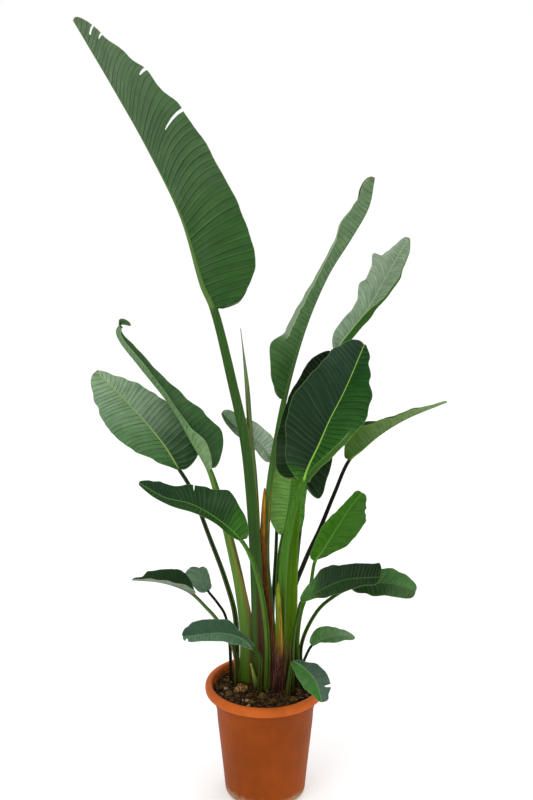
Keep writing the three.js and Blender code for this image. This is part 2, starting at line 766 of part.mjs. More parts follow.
// Soil body with a rough top, a few clods and one hole for each stem.
function soilGeometry(holes) {
  const outline = [
    [0, floorThickness + soilClearance],
    [bodyRadius(8) - wall - 5 - soilClearance, floorThickness + soilClearance],
    [bodyRadius(8) - wall - soilClearance, 9],
    [bodyTopRadius - wall - soilClearance, neck - 6],
    [bodyTopRadius - 1, soilTop - 2],
    [90, soilTop],
    [60, soilTop + 1],
    [30, soilTop + 3],
    [0, soilTop + 3],
  ];
  const body = turned(outline);
  const position = body.getAttribute("position");
  for (let i = 0; i < position.count; i++) {
    const x = position.getX(i);
    const y = position.getY(i);
    const z = position.getZ(i);
    if (z > soilTop - 1 && Math.hypot(x, y) < 95) {
      position.setZ(i, z + soilRoughness * grain(Math.round(x / 9), Math.round(y / 9)));
    }
  }
  let soil = solidOf(body);
  const clods = [
    [-52, -12, 15],
    [-6, -44, 10],
    [18, -62, 8],
    [-78, -30, 9],
    [62, -58, 8],
    [-30, -70, 8],
  ];
  for (const [x, y, radius] of clods) {
    const lump = new THREE.IcosahedronGeometry(radius, 1);
    lump.scale(1, 1, 0.75).rotateX(radius * 0.54).rotateZ(radius).translate(x, y, soilTop + 2);
    soil = soil.add(solidOf(lump));
  }
  for (const hole of holes) soil = soil.subtract(hole);
  return geometryOf(soil);
}

const plant = new THREE.Group();
plant.name = "potted_bird_of_paradise";
const foliage = new THREE.Group();
plant.add(foliage);

function addPiece(group, name, geometry, colour, roughness) {
  const material = new THREE.MeshStandardMaterial({ color: colour, roughness, metalness: 0 });
  const mesh = new THREE.Mesh(geometry, material);
  mesh.name = name;
  group.add(mesh);
  return mesh;
}

// Adds a piece that stands in the soil on its foot, and keeps the hole that it needs.
const holes = [];
function addStem(name, rings, foot, colour, roughness) {
  holes.push(footHole(rings));
  const geometry = loft(rings).translate(-foot[0], -foot[1], -foot[2]);
  addPiece(foliage, name, geometry, colour, roughness).position.set(...foot);
}

for (const [name, leaf] of Object.entries(leaves)) {
  addStem(name, leafRings(leaf), leaf.stalk[0], leaf.colour, 0.45);
}
for (const [name, sheath] of Object.entries(sheaths)) {
  addStem(name, sheathRings(sheath), leaves[sheath.around].stalk[0], sheath.colour, 0.8);
}
for (const [name, rod] of Object.entries(rods)) {
  addStem(name, rodRings(rod), rod.points[0], rod.colour, 0.5);
}

addPiece(plant, "pot", potGeometry(), 0xb4592f, 0.5);
addPiece(plant, "soil", soilGeometry(holes), 0x3a2a20, 0.95);

export default plant;
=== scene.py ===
"""The looks of a potted young giant bird of paradise, laid out as a Blender add-on.

The tables of leaves, sheaths and rods are in millimetres and degrees. Everything that is built is in metres.
"""

import json
import math

import bmesh
import bpy
import numpy as np
from bpy.props import FloatProperty, FloatVectorProperty, IntProperty, PointerProperty
from mathutils import Matrix, Vector, noise


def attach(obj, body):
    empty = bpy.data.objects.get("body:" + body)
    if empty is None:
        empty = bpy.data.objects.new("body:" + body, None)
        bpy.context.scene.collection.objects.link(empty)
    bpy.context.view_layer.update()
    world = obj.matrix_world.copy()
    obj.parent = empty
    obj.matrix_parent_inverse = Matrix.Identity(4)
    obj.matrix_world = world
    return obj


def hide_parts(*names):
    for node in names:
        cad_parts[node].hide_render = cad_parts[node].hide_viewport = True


bl_info = {
    "name": "Potted Bird of Paradise",
    "version": (1, 0, 0),
    "blender": (4, 5, 0),
    "location": "View3D > Sidebar > Plant",
    "description": "Builds the leaves, sheaths, soil and pot of a young giant bird of paradise",
    "category": "Add Mesh",
}

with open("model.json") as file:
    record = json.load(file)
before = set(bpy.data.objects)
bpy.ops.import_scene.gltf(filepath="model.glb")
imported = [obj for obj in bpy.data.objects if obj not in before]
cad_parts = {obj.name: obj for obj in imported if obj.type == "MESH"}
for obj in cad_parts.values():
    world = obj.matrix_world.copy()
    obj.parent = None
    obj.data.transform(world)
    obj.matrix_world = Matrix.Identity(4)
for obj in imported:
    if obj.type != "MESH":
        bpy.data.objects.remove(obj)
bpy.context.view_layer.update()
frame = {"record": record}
SLOTS = {part["node"]: part["material_slot"] for part in frame["record"]["subparts"]}

MM = 0.001
# Every stem ends at this height, inside the soil.
FOOT = 216
# Rows of points along a stalk, waves along a blade's margin, and the midrib's radius at its tip.
STALK_ROWS = 46
MARGIN_WAVES = 4.3
RIB_TIP = 0.9


def half(width, fold, **given):
    """Half of a blade. Its lists run from the base of the blade to the tip, and a lone value holds all along.

    width is the distance from the midrib to the margin, and shape the share of it along the blade.
    fold is the angle at which the half rises from the midrib, and curl bends it on towards the margin.
    sweep carries the margin towards the tip, in shares of the width.
    neck and point are the shares of the length in which the half rounds off at its base and tip.
    wave is the height of the waves along the margin.
    """
    usual = dict(curl=0, shape=1, sweep=(-0.2, 0.15, 0.35, 0.5, 0.5), neck=0.2, point=0.7, wave=1.2)
    return dict(width=width, fold=fold) | usual | given


def leaf_values(**given):
    """A leaf. What the table leaves out is as on most leaves.

    stalk runs from the foot in the soil to the blade, and rib along the midrib to the tip.
    up is where the top of the blade faces, from its base to its tip, or all along.
    stem is the stalk's radius under the blade and at the foot, and a higher taper thickens it later.
    channel is the angle at which the stalk's sides fold up.
    wing is the side, width and fold of a thin wing low on the stalk.
    tears are cuts from the margin: side, place along the blade, share left uncut, half width of the cut.
    rows and across count the points along the blade and across each half, veins is the side veins' spacing.
    arch is how far the side veins bow, from the base to the tip.
    left, right and under are the greens of the halves and the underside, at the blade's base and tip.
    Where right or under is left out, it is as left.
    stem_colour is the stalk's colour below the blade and at the soil.
    base is the colour at the base of the blade, and the share of the length that it reaches.
    contrast is the strength of the painted shade in the side veins' creases and of the painted highlight
    beside them, fade how far they weaken towards the margin.
    lines under 1 gives wide soft creases, with their painted shade, and painted highlight bands of that
    strength.
    strip is a band beside the margin: side, colour, width, first and last place along the blade.
    painted gloss is a painted highlight in patches, and sheen the gloss.
    hem and hem_reach are the strength and width of the dry hem along the stalk.
    stain is the colour of the stalk's stained side, and where it starts from left to right in metres.
    """
    usual = dict(
        taper=1.2, channel=63, wing=(0, 0, 0), tears=(), arch=1, right=given["left"], under=given["left"],
        base=None, contrast=0.7, fade=0.6, lines=1.0, strip=None, wax=0.06, sheen=0.25,
        hem=0.12, hem_reach=1.1, stain=None,
    )
    return usual | given


LEAVES = {
    "giant_leaf": leaf_values(
        stalk=[(-8, 22, FOOT), (-14, 20, 348), (-20, 22, 534), (-30, 24, 692), (-42, 24, 802),
            (-66, 22, 920)],
        rib=[(-104, 20, 1082), (-124, 18, 1128), (-164, 14, 1264), (-228, 6, 1400), (-288, -6, 1512),
            (-358, -30, 1640)],
        up=[(0.9, 0.2, 0.4)],
        stem=(8.5, 15), taper=0.9,
        halves=(
            half(134, 60, shape=(1.1, 0.97, 0.9, 0.86, 0.76, 0.63, 0.48, 0.38, 0.32),
                sweep=(0, 0.3, 0.7, 0.9, 0.9), neck=0.14, point=0.4, wave=2),
            half(120, 58, shape=(1, 0.97, 0.84, 0.66, 0.5, 0.46, 0.36, 0.24, 0.16),
                sweep=(-0.35, 0.1, 0.5, 0.8, 0.9), neck=0.1, point=0.4, wave=2),
        ),
        tears=[(-1, 0.915, 0.08, 0.005), (-1, 0.872, 0.7, 0.0045), (-1, 0.665, 0.78, 0.006),
            (-1, 0.5, 0.5, 0.0055)],
        rows=330, across=26, veins=12,
        left=("2f5a22", "607a58"),
        rib_colour="5a7a3a", stem_colour=("315418", "33561a"),
        contrast=1.0, fade=0.5, hem=0.9, arch=(1, 0.8, 0.1), stain=("4b2412", -0.018),
    ),
    "curled_leaf": leaf_values(
        stalk=[(24, 24, FOOT), (10, 32, 424), (2, 40, 526), (8, 48, 682), (22, 52, 782)],
        rib=[(40, 56, 880), (74, 56, 1005), (99, 54, 1076), (132, 50, 1150), (175, 47, 1221),
            (207, 44, 1282), (217, 40, 1340)],
        up=[(-0.93, 0.1, 0.37)],
        stem=(6, 10),
        halves=(
            half(58, (45, 45, 60, 60), curl=(0, 20, 20),
                shape=(1.1, 1.05, 0.8, 0.5, 0.42, 0.4, 0.42, 0.5, 0.48), sweep=(0, 0.3, 0.4, 0.3, 0.3),
                point=0.1),
            half(66, (60, 70, 70), curl=(0, 50, 55),
                shape=(0.63, 0.84, 0.95, 0.57, 0.5, 0.42, 0.34, 0.35, 0.4, 0.55, 0.49, 0.38, 0.39),
                sweep=(0.1, 0.45, 0.4, 0.3, 0.2), point=0.1),
        ),
        rows=190, across=20, veins=10,
        left=("2c4a28", "3a4c30"), under=("46703a", "708c66"),
        rib_colour="4a6a34", stem_colour=("4a7430", "4a5a2a"),
        contrast=0.9, hem=0.3, arch=0.2, strip=(1, "8a9e84", 16, 0.2, 0.97),
    ),
    "pale_leaf": leaf_values(
        stalk=[(54, 44, FOOT), (58, 70, 374), (78, 100, 596), (114, 108, 842)],
        rib=[(150, 104, 972), (182, 96, 1022), (208, 88, 1058), (250, 78, 1138), (290, 60, 1218)],
        up=[(-0.1, -0.9, 0.4)],
        stem=(4, 8),
        halves=(
            half(38, (25, 25, 35),
                shape=(0.65, 0.72, 0.75, 0.7, 0.8, 1.15, 0.95, 1, 1.3, 0.8, 0.7, 0.64, 0.75),
                sweep=(0.3, 0.6, 0.8, 0.6, 0.2), neck=0.12, point=0.35),
            half(36, (25, 30, 30), curl=(10, 20, 45, 35, 20),
                shape=(0.6, 0.5, 0.55, 0.7, 1.35, 1.35, 1.05, 0.95, 0.75), sweep=(0.2, 0.4, 0.6, 0.6, 0.4),
                neck=0.12, point=0.35),
        ),
        rows=140, across=16, veins=8,
        left=("9cb698", "a8bca2"), right=("96b08c", "9cb094"), under=("3c5e23", "44662a"),
        rib_colour="a8cc8c", stem_colour=("5c7a50", "3f5426"),
        strip=(1, "3f6a2c", 42, 0, 0.9),
    ),
    "broad_leaf": leaf_values(
        stalk=[(28, -10, FOOT), (34, -8, 390), (40, -12, 548), (58, -22, 664)],
        rib=[(80, -31, 732), (90, -35, 764), (110, -44, 814), (130, -54, 868), (158, -62, 930),
            (196, -60, 1025)],
        up=[(-0.1, -0.85, 0.5), (0, -0.9, 0.4), (0.1, -1, 0.2)],
        stem=(6, 10), taper=0.9, channel=25,
        halves=(
            half(90, (8, 12, 10), curl=(10, 10), shape=(0.5, 0.69, 0.9, 0.98, 0.89, 0.79, 0.67, 0.56, 0.56),
                sweep=(-0.1, 0.35, 0.7, 0.7, 0.5), point=0.25),
            half(72, (62, 50, 40, 30), shape=(0.6, 0.75, 0.92, 1.1, 1.26, 0.98, 0.6, 0.32, 0.16),
                sweep=(0.2, 0.4, 0.5, 0.6, 0.8), point=0.15),
        ),
        rows=190, across=24, veins=11,
        # The right half's green is partly painted light shining through it from behind.
        left=("1e3a20", "284430"), right=("3a6e2a", "184810"), under=("3f6a26", "4a6c2c"),
        rib_colour="a4d458", stem_colour=("4a7a28", "4a7420"),
        contrast=1.4, fade=0.25, lines=0.35, arch=0, base=("3f7422", 0.16), sheen=0.15,
        strip=(1, "46702e", 28, 0.02, 0.38),
    ),
    "dark_leaf": leaf_values(
        stalk=[(50, 16, FOOT), (56, 12, 434), (58, 8, 540), (64, 8, 652)],
        rib=[(74, 12, 726), (92, 16, 804), (108, 18, 890), (138, 20, 990)],
        up=[(0, -0.9, 0.3)],
        stem=(7, 13), taper=0.6, channel=20,
        halves=(
            half(76, (12, 10), shape=(1.1, 0.95, 0.9, 0.8, 0.68, 0.68, 0.56),
                sweep=(-0.4, 0.1, 0.4, 0.5, 0.4), neck=0.3, point=0.5),
            half(54, (12, 10), shape=(1.5, 1.1, 0.95, 0.97, 0.92, 0.9, 1.2),
                sweep=(-1.1, -0.2, 0.3, 0.4, 0.4), neck=0.22, point=0.5),
        ),
        rows=170, across=20, veins=10,
        # The near-black greens, darkest at the tip, are partly the leaf's own dark green and partly painted
        # shade.
        left=("1c3818", "0c1c0a"), right=("1d361b", "0e200c"), under=("2d4a24", "2d4a24"),
        rib_colour="5f8a3a", stem_colour=("4f7e14", "6a8a10"),
        contrast=1, fade=0.3, lines=0.35, arch=0, sheen=0.12,
    ),
    "drooping_leaf": leaf_values(
        stalk=[(70, 32, FOOT), (58, 34, 436), (86, 38, 526), (118, 42, 600), (146, 44, 674)],
        rib=[(178, 48, 750), (202, 46, 772), (238, 40, 806), (290, 28, 844), (372, 0, 890)],
        up=[(-0.5, 0.2, 0.85)],
        stem=(4, 7),
        halves=(
            half(34, 45, shape=(1.1, 1.8, 1.5, 1, 0.65, 0.6, 0.4, 0.33, 0.38),
                sweep=(-0.1, 0.1, 0.4, 0.6, 0.6), neck=0.12, point=0.5),
            half(38, 45, shape=(0.8, 1.3, 1.5, 1.2, 0.65, 0.65, 0.45, 0.38, 0.42),
                sweep=(-0.1, 0.1, 0.4, 0.6, 0.6), neck=0.12, point=0.5),
        ),
        rows=140, across=16, veins=8,
        # The yellow-greens are partly the leaf's own colour and partly painted light shining through the
        # blade.
        left=("3e5e24", "6a8450"), under=("4a7018", "84a066"),
        rib_colour="6a8a48", stem_colour=("1d2113", "2a2a16"),
        contrast=0.35, base=("42681c", 0.4), sheen=0.12,
    ),
    "lime_leaf": leaf_values(
        stalk=[(72, 6, FOOT), (70, 0, 358), (78, -6, 430), (96, -12, 486)],
        rib=[(106, -18, 548), (122, -20, 574), (152, -22, 628), (176, -22, 668), (200, -22, 702)],
        up=[(-0.25, 0.9, 0.35)],
        stem=(3.2, 6),
        halves=(
            half(54, 15, shape=(0.3, 0.6, 1.2, 1.28, 1.38, 1.17, 0.91, 0.65, 0.64),
                sweep=(-0.1, 0.1, 0.3, 0.2, 0.1), neck=0.3, point=0.2),
            half(32, 20, shape=(0.87, 0.85, 0.82, 0.93, 0.77, 0.62, 0.5, 0.48, 0.65),
                sweep=(-0.3, 0.1, 0.4, 0.4, 0.3), neck=0.3, point=0.2),
        ),
        rows=110, across=14, veins=8,
        # The yellow-greens are partly the leaf's own colour and partly painted light shining through the
        # blade.
        left=("326216", "3a701c"), under=("3f741a", "3c701c"),
        rib_colour="5d8a35", stem_colour=("3f6618", "3a4a1a"),
        contrast=0.35, wax=0.02, sheen=0.06,
    ),
    "right_leaf": leaf_values(
        stalk=[(58, -14, FOOT), (60, -22, 368), (70, -36, 432)],
        rib=[(78, -48, 470), (110, -66, 500), (162, -90, 536), (234, -120, 556)],
        up=[(-0.2, -0.6, 0.8)],
        stem=(3.2, 7),
        halves=(
            half(40, 10, shape=(0.55, 0.8, 1.05, 1.03, 0.8, 0.8, 0.77, 0.75, 0.8),
                sweep=(0.1, 0.4, 0.5, 0.4, 0.2), neck=0.3, point=0.08),
            half(36, 10, shape=(0.49, 0.4, 0.74, 0.92, 0.76, 0.55, 0.6), sweep=(0.2, 0.3, 0.4, 0.3, 0.1),
                neck=0.3, point=0.1),
        ),
        rows=120, across=14, veins=8,
        left=("213c20", "1c331b"), right=("2f4f26", "283f24"), under=("3c5c2a", "3c5c2a"),
        rib_colour="4c7038", stem_colour=("3c5c1e", "2e3a18"),
        contrast=0.9, lines=0.6, arch=0.2, base=("4a7a34", 0.35), sheen=0.12,
    ),
    "far_right_leaf": leaf_values(
        stalk=[(86, 22, FOOT), (77, 17, 316), (86, 7, 368), (116, -4, 432), (148, -14, 466)],
        rib=[(184, -24, 492), (220, -36, 506), (266, -52, 510), (312, -70, 502)],
        up=[(0, -0.6, 0.8)],
        stem=(3.2, 5),
        halves=(
            half(36, 10, shape=(1, 1, 0.87, 0.94, 0.78, 0.66, 0.65), sweep=(0, 0.2, 0.4, 0.4, 0.3),
                neck=0.3, point=0.3),
            half(32, 10, shape=(1, 0.85, 1.13, 1.07, 1, 0.9, 1.1), sweep=(0, 0.2, 0.4, 0.4, 0.3), neck=0.3,
                point=0.3),
        ),
        rows=110, across=14, veins=8,
        left=("3e6a30", "4c7c3e"), right=("274a1a", "3a6028"), under=("4a6a3a", "4a6a3a"),
        rib_colour="4c7438", stem_colour=("3a5a20", "4a5a20"),
        contrast=0.6, wax=0.12,
    ),
    "small_right_leaf": leaf_values(
        stalk=[(86, -4, FOOT), (80, -6, 292), (88, -8, 322)],
        rib=[(102, -10, 350), (128, -18, 370), (160, -30, 382), (190, -42, 382)],
        up=[(0, -0.5, 0.8)],
        stem=(2.5, 4),
        halves=(
            half(21, 20, shape=(1, 1.28, 1.22, 0.92, 0.76, 0.72, 0.66), sweep=(0, 0.2, 0.4, 0.4, 0.3)),
            half(19, 5, shape=(0.3, 0.25, 0.65, 1.05, 0.95, 0.68, 0.8), sweep=(0, 0.2, 0.4, 0.4, 0.3)),
        ),
        rows=90, across=12, veins=6,
        left=("4e7e3e", "74966c"), right=("4c7c40", "668a60"), under=("55744c", "55744c"),
        rib_colour="6f8a60", stem_colour=("22301a", "1c2412"),
        contrast=0.6,
    ),
    "low_right_leaf": leaf_values(
        stalk=[(48, -38, FOOT), (49, -42, 262)],
        rib=[(60, -52, 330), (82, -72, 328), (106, -102, 312), (118, -130, 280)],
        up=[(0.3, -0.4, 0.8), (0.3, -0.8, 0.6)],
        stem=(3.5, 5),
        halves=(
            half(34, 10, shape=(0.35, 0.5, 0.85, 0.85, 0.81, 0.66, 0.85), sweep=(0, 0.2, 0.4, 0.4, 0.3),
                neck=0.3, point=0.4),
            half(40, 10, shape=(0.6, 0.72, 0.91, 0.95, 0.72, 0.46, 0.36), sweep=(0, 0.2, 0.4, 0.4, 0.3),
                neck=0.3, point=0.4),
        ),
        tears=[(-1, 0.68, 0.45, 0.022)],
        rows=120, across=14, veins=8,
        left=("46604c", "546c5c"), right=("387426", "447e30"), under=("4a6a3a", "4a6a3a"),
        rib_colour="6f9a58", stem_colour=("3c5c22", "4a4a20"),
        contrast=0.5,
    ),
    "rolled_leaf": leaf_values(
        stalk=[(-46, 30, FOOT), (-42, 30, 342), (-54, 30, 460), (-74, 30, 564), (-98, 28, 668)],
        rib=[(-118, 26, 736), (-150, 22, 796), (-192, 16, 874), (-254, 4, 962), (-294, -6, 1022),
            (-298, -11, 1042), (-288, -16, 1055), (-268, -20, 1054)],
        up=[(0.8, -0.4, 0.5)],
        stem=(5.5, 15), taper=0.8,
        halves=(
            half(52, (62, 62, 60, 60), shape=(0.65, 1, 0.45, 0.33, 0.42, 0.52, 0.5, 0.45, 0.4),
                sweep=(0.2, 0.4, 0.5, 0.5, 0.4), neck=0.15, point=0.3),
            half(88, 50, shape=(0.56, 0.74, 0.59, 0.4, 0.29, 0.25, 0.22, 0.17, 0.13),
                sweep=(-0.1, 0.2, 0.5, 0.5, 0.4), neck=0.15, point=0.3),
        ),
        rows=180, across=20, veins=10,
        left=("406a36", "4e7046"), right=("3a6433", "4a7042"), under=("86ac76", "689060"),
        rib_colour="6a8a4a", stem_colour=("5f8432", "4c6a1c"),
        hem=0.9, hem_reach=9, wing=(-1, 18, 74), stain=("4b2412", -0.034),
    ),
    "sheen_leaf": leaf_values(
        stalk=[(-64, 42, FOOT), (-65, 41, 390), (-86, 42, 478), (-120, 44, 578), (-160, 42, 692)],
        rib=[(-182, 40, 732), (-212, 30, 790), (-274, 12, 876), (-340, -20, 960)],
        up=[(0.1, -0.7, 0.7)],
        stem=(4, 7),
        halves=(
            half(68, 10, shape=(0.4, 0.7, 0.98, 1.12, 1.15, 1.07, 0.89, 0.72, 0.67),
                sweep=(0.3, 0.5, 0.6, 0.6, 0.5), neck=0.3, point=0.25),
            half(60, 20, shape=(0.85, 1.12, 1.13, 1.08, 0.92, 0.76, 0.56, 0.4, 0.28),
                sweep=(-0.3, 0, 0.2, 0.4, 0.5), neck=0.15, point=0.4),
        ),
        rows=180, across=22, veins=10,
        # The pale grey greens towards the tip are painted sheen, a reflection of the bright surround, over
        # the leaf's own green.
        left=("4c7c44", "98b892"), right=("1c4616", "a0bc9a"), under=("6f8f68", "6f8f68"),
        rib_colour="a0bc60", stem_colour=("38482e", "3e6620"),
        contrast=1.5, fade=0.3, wax=0.1, arch=0.2,
    ),
    "left_front_leaf": leaf_values(
        stalk=[(2, -12, FOOT), (4, -16, 364), (-10, -26, 486), (-32, -36, 568)],
        rib=[(-50, -42, 604), (-94, -56, 654), (-150, -74, 696), (-202, -90, 716), (-252, -100, 750)],
        up=[(0.3, -0.4, 0.85)],
        stem=(4, 7),
        halves=(
            half(24, (10, 5), shape=(1, 1, 0.8, 1.1, 0.95, 0.8, 0.85), sweep=(0, 0.2, 0.4, 0.5, 0.5),
                point=0.5),
            half(52, 20, shape=(0.85, 1.1, 1.35, 1.02, 0.8, 0.62, 0.68, 0.54, 0.4),
                sweep=(-0.3, 0.1, 0.4, 0.6, 0.6), point=0.5),
        ),
        tears=[(1, 0.49, 0.72, 0.006)],
        rows=140, across=18, veins=9,
        left=("2c5618", "2c4f28"), right=("264d1e", "24402a"), under=("3c6428", "3c6428"),
        rib_colour="6a9a4a", stem_colour=("4a7426", "4a6a22"),
        contrast=1.1, lines=0.6, arch=0.2, base=("3c7420", 0.3), sheen=0.15,
    ),
    "low_left_leaf": leaf_values(
        stalk=[(-12, -24, FOOT), (-12, -28, 270), (-12, -40, 338)],
        rib=[(-28, -52, 364), (-52, -70, 396), (-90, -92, 418), (-128, -110, 424), (-168, -126, 426)],
        up=[(0.1, -0.6, 0.8)],
        stem=(3.5, 5),
        halves=(
            half(22, 10, shape=(0.5, 0.8, 1.07, 1, 0.85, 0.75, 0.75), sweep=(0, 0.3, 0.5, 0.6, 0.6),
                neck=0.3, point=0.2),
            half(31, 15, shape=(0.6, 0.45, 0.45, 0.99, 0.9, 0.99, 0.9, 0.66, 0.5),
                sweep=(0, 0.3, 0.5, 0.6, 0.6), neck=0.3, point=0.2),
        ),
        tears=[(-1, 0.93, 0.45, 0.02)],
        rows=110, across=14, veins=7,
        left=("557a5c", "628468"), right=("3a5c40", "3a5c46"), under=("4a6a3a", "4a6a3a"),
        rib_colour="6c8c58", stem_colour=("3a5a22", "3c4420"),
        contrast=0.8,
    ),
    "left_pale_leaf": leaf_values(
        stalk=[(-62, 12, FOOT), (-68, 13, 326), (-104, 10, 400), (-128, 2, 434)],
        rib=[(-156, -6, 468), (-186, -20, 490), (-226, -36, 508), (-276, -54, 520)],
        up=[(0.1, -0.3, 1)],
        stem=(3.2, 5),
        halves=(
            half(30, 50, neck=0.25),
            half(34, 30, shape=(0.75, 1.2, 1.1, 0.88, 0.78, 0.4, 0.45), neck=0.25),
        ),
        rows=110, across=14, veins=7,
        left=("1b3a14", "2a4422"), under=("7c8c74", "8c9884"),
        rib_colour="6a8458", stem_colour=("4a6a2c", "46401e"),
        contrast=0.4,
    ),
    "left_round_leaf": leaf_values(
        stalk=[(-76, 32, FOOT), (-78, 40, 330), (-88, 52, 392), (-106, 58, 420)],
        rib=[(-126, 62, 446), (-136, 72, 466), (-144, 90, 486)],
        up=[(0.2, -0.9, 0.5)],
        stem=(2.5, 4),
        halves=(
            half(27, 10, shape=(1, 1, 1.4, 1.1, 1), neck=0.4, point=0.4),
            half(27, 10, shape=(0.8, 0.6, 0.63, 0.6, 0.6), neck=0.4, point=0.4),
        ),
        rows=80, across=14, veins=6,
        left=("68866c", "6e8c70"), right=("5c7860", "66846a"), under=("55705a", "55705a"),
        rib_colour="5c7660", stem_colour=("2a2a1c", "2c2818"),
        contrast=0.15,
    ),
    "behind_left_leaf": leaf_values(
        stalk=[(24, 64, FOOT), (16, 76, 368), (24, 86, 554), (24, 88, 668)],
        rib=[(12, 86, 738), (-24, 78, 788), (-60, 66, 816), (-90, 54, 852)],
        up=[(0.2, -0.8, 0.6)],
        stem=(3, 5),
        halves=(half(26, 30), half(30, 30)),
        rows=110, across=14, veins=7,
        # The near-white greens are partly the leaf's own pale green and partly painted gloss highlight.
        left=("bdd8b8", "557c50"), right=("ddf1da", "8fb18c"), under=("6a8c61", "456a40"),
        rib_colour="9ab088", stem_colour=("3c5c28", "3c4420"),
        contrast=0.8,
    ),
    "light_leaf": leaf_values(
        stalk=[(38, 52, FOOT), (26, 64, 422), (30, 74, 522)],
        rib=[(38, 80, 570), (50, 86, 646), (58, 86, 726), (66, 80, 816)],
        up=[(0, -0.9, 0.3)],
        stem=(3, 5),
        halves=(
            half(30, 20, shape=(0.72, 1.2, 1.4, 1.45, 1.2, 1.04, 1), sweep=(-0.2, 0.2, 0.6, 0.8), neck=0.15,
                point=0.6),
            half(43, 20, shape=(1, 0.98, 0.88, 0.92, 0.66, 0.42, 0.55), sweep=(-0.2, 0.2, 0.6, 0.8),
                neck=0.15, point=0.6),
        ),
        rows=120, across=14, veins=8,
        # The bright greens are partly the leaf's own colour and partly painted gloss highlight.
        left=("99d16b", "90ca61"), right=("5a9938", "66a246"), under=("588b33", "588b33"),
        rib_colour="8fc060", stem_colour=("5f8a3a", "4a6420"),
        contrast=0.9, sheen=0.15,
    ),
}

# Old sheaths hug the foot of the stalk that each is around, up to the height top and gap off its surface.
# turn is where they face and arc how much they cover, narrowing towards the top, sooner with a higher taper.
# rag is how deeply the top is torn, shoulder how much lower its sides end, ridge the height of its grooves.
# strands counts the torn fibre ribbons that stand against it.
SHEATHS = {
    "orange_sheath": dict(
        around="curled_leaf", top=690, gap=4, arc=170, turn=212, rag=0.04, shoulder=0, taper=0.3, ridge=0.35,
        strands=5, foot="38200f", middle="785a26", tip="cc9a2c", hem="8a3c1e",
    ),
    "green_sheath": dict(
        around="broad_leaf", top=500, gap=2, arc=210, turn=215, rag=0.03, shoulder=0, taper=0.45, ridge=0.35,
        strands=0, foot="5a3a1e", middle="6f7c1e", tip="8ca82c", hem="c07a2c",
    ),
    "fibrous_sheath": dict(
        around="broad_leaf", top=362, gap=4, arc=250, turn=245, rag=0.7, shoulder=0.55, taper=0.25, ridge=1.5,
        strands=90, foot="2a130c", middle="50302a", tip="8a5c50", hem="7a4c3a",
    ),
}

# The rolled new leaf and the cut stub: points along the middle, radii from foot to tip, and their colours.
RODS = {
    "spear": dict(
        points=[(0, 50, FOOT), (-14, 48, 440), (-20, 48, 650), (-32, 47, 830), (-38, 46, 920),
            (-50, 44, 1034)],
        radii=(5, 6.5, 7.5, 7, 5.5, 0.8), low="5f7a1c", high="55703a", tip="6a4a34",
    ),
    "stub": dict(
        points=[(-18, 0, FOOT), (-22, 1, 262), (-31, 2, 300)],
        radii=(4.5, 5, 2), low="4a5a28", high="8a9a3c", tip="c0a850",
    ),
}

# The larger clods on the soil: place, radius, how pale they are and how golden their flecks.
CLODS = [
    ((-52, -12), 15, 0.1, 1.0), ((-6, -44), 10, 0, 0.25), ((18, -62), 8, 0, 0.25),
    ((-78, -30), 9, 0, 0.25), ((62, -58), 8, 0, 0.25), ((-30, -70), 8, 0, 0.25),
]


def rgb(code):
    """A web colour as linear red, green and blue."""
    parts = [int(code[i : i + 2], 16) / 255 for i in (0, 2, 4)]
    return tuple(p / 12.92 if p <= 0.04045 else ((p + 0.055) / 1.055) ** 2.4 for p in parts)


def size_setting(name, description, default):
    return FloatProperty(name=name, description=description, default=default, unit="LENGTH")


def colour_setting(name, description, code):
    return FloatVectorProperty(name=name, description=description, subtype="COLOR", default=rgb(code))


def lamp_setting(name, description, default):
    return FloatProperty(name=name, description=description, default=default, subtype="POWER")


class PotSettings(bpy.types.PropertyGroup):
    height: size_setting("Height", "Height of the pot", 0.26)
    rim_radius: size_setting("Rim radius", "Outer radius of the rolled rim", 0.1305)
    rim_depth: size_setting("Rim depth", "Height of the rolled rim", 0.021)
    top_radius: size_setting("Body top radius", "Radius of the body under the rim", 0.1105)
    foot_radius: size_setting("Body foot radius", "Radius of the body at the foot", 0.088)
    wall: size_setting("Wall", "Thickness of the wall", 0.003)
    body_colour: colour_setting("Body colour", "Terracotta colour of the body", "8a3f0a")
    # The rim is given a lighter colour than the body.
    rim_colour: colour_setting("Rim colour", "Lighter, handled colour of the rim", "b5581e")
    dust_colour: colour_setting("Dust colour", "Dried soil and scuffs", "a58c6c")


class SoilSettings(bpy.types.PropertyGroup):
    level: size_setting("Level", "Height of the soil's top", 0.243)
    crumbs: IntProperty(name="Crumbs", description="Number of loose crumbs", default=2400, min=0)
    dark: colour_setting("Dark", "Moist peat", "1c1006")
    light: colour_setting("Light", "Dry crumbs", "58401f")
    pale: colour_setting("Pale bits", "Bark and mineral bits", "a88c66")


class LeafSettings(bpy.types.PropertyGroup):
    thickness: size_setting("Thickness", "Thickness of a blade", 0.0007)
    pleat: size_setting("Pleat depth", "Height of the folds between side veins", 0.00075)
    ruffle: size_setting("Ruffle", "Uneven waves towards the margin", 0.0022)
    brightness: FloatProperty(
        name="Brightness", description="Lightens or darkens every green", default=0.85, min=0, max=3)
    depth: FloatProperty(
        name="Depth", description="Taken off each green, for its sheen", default=0.012, min=0, max=0.1)
    margin: colour_setting("Margin", "Thin light margin", "9db878")
    # Colour of the painted highlight beside the side veins and of the painted gloss in patches.
    painted_highlight: colour_setting("Shine", "Waxy bloom on the ridges of the side veins", "8fa88c")
    withered: colour_setting("Withered tip", "Dry leaf tips", "6a5030")
    glow: colour_setting("Glow", "Light that comes through a blade", "6fa01e")


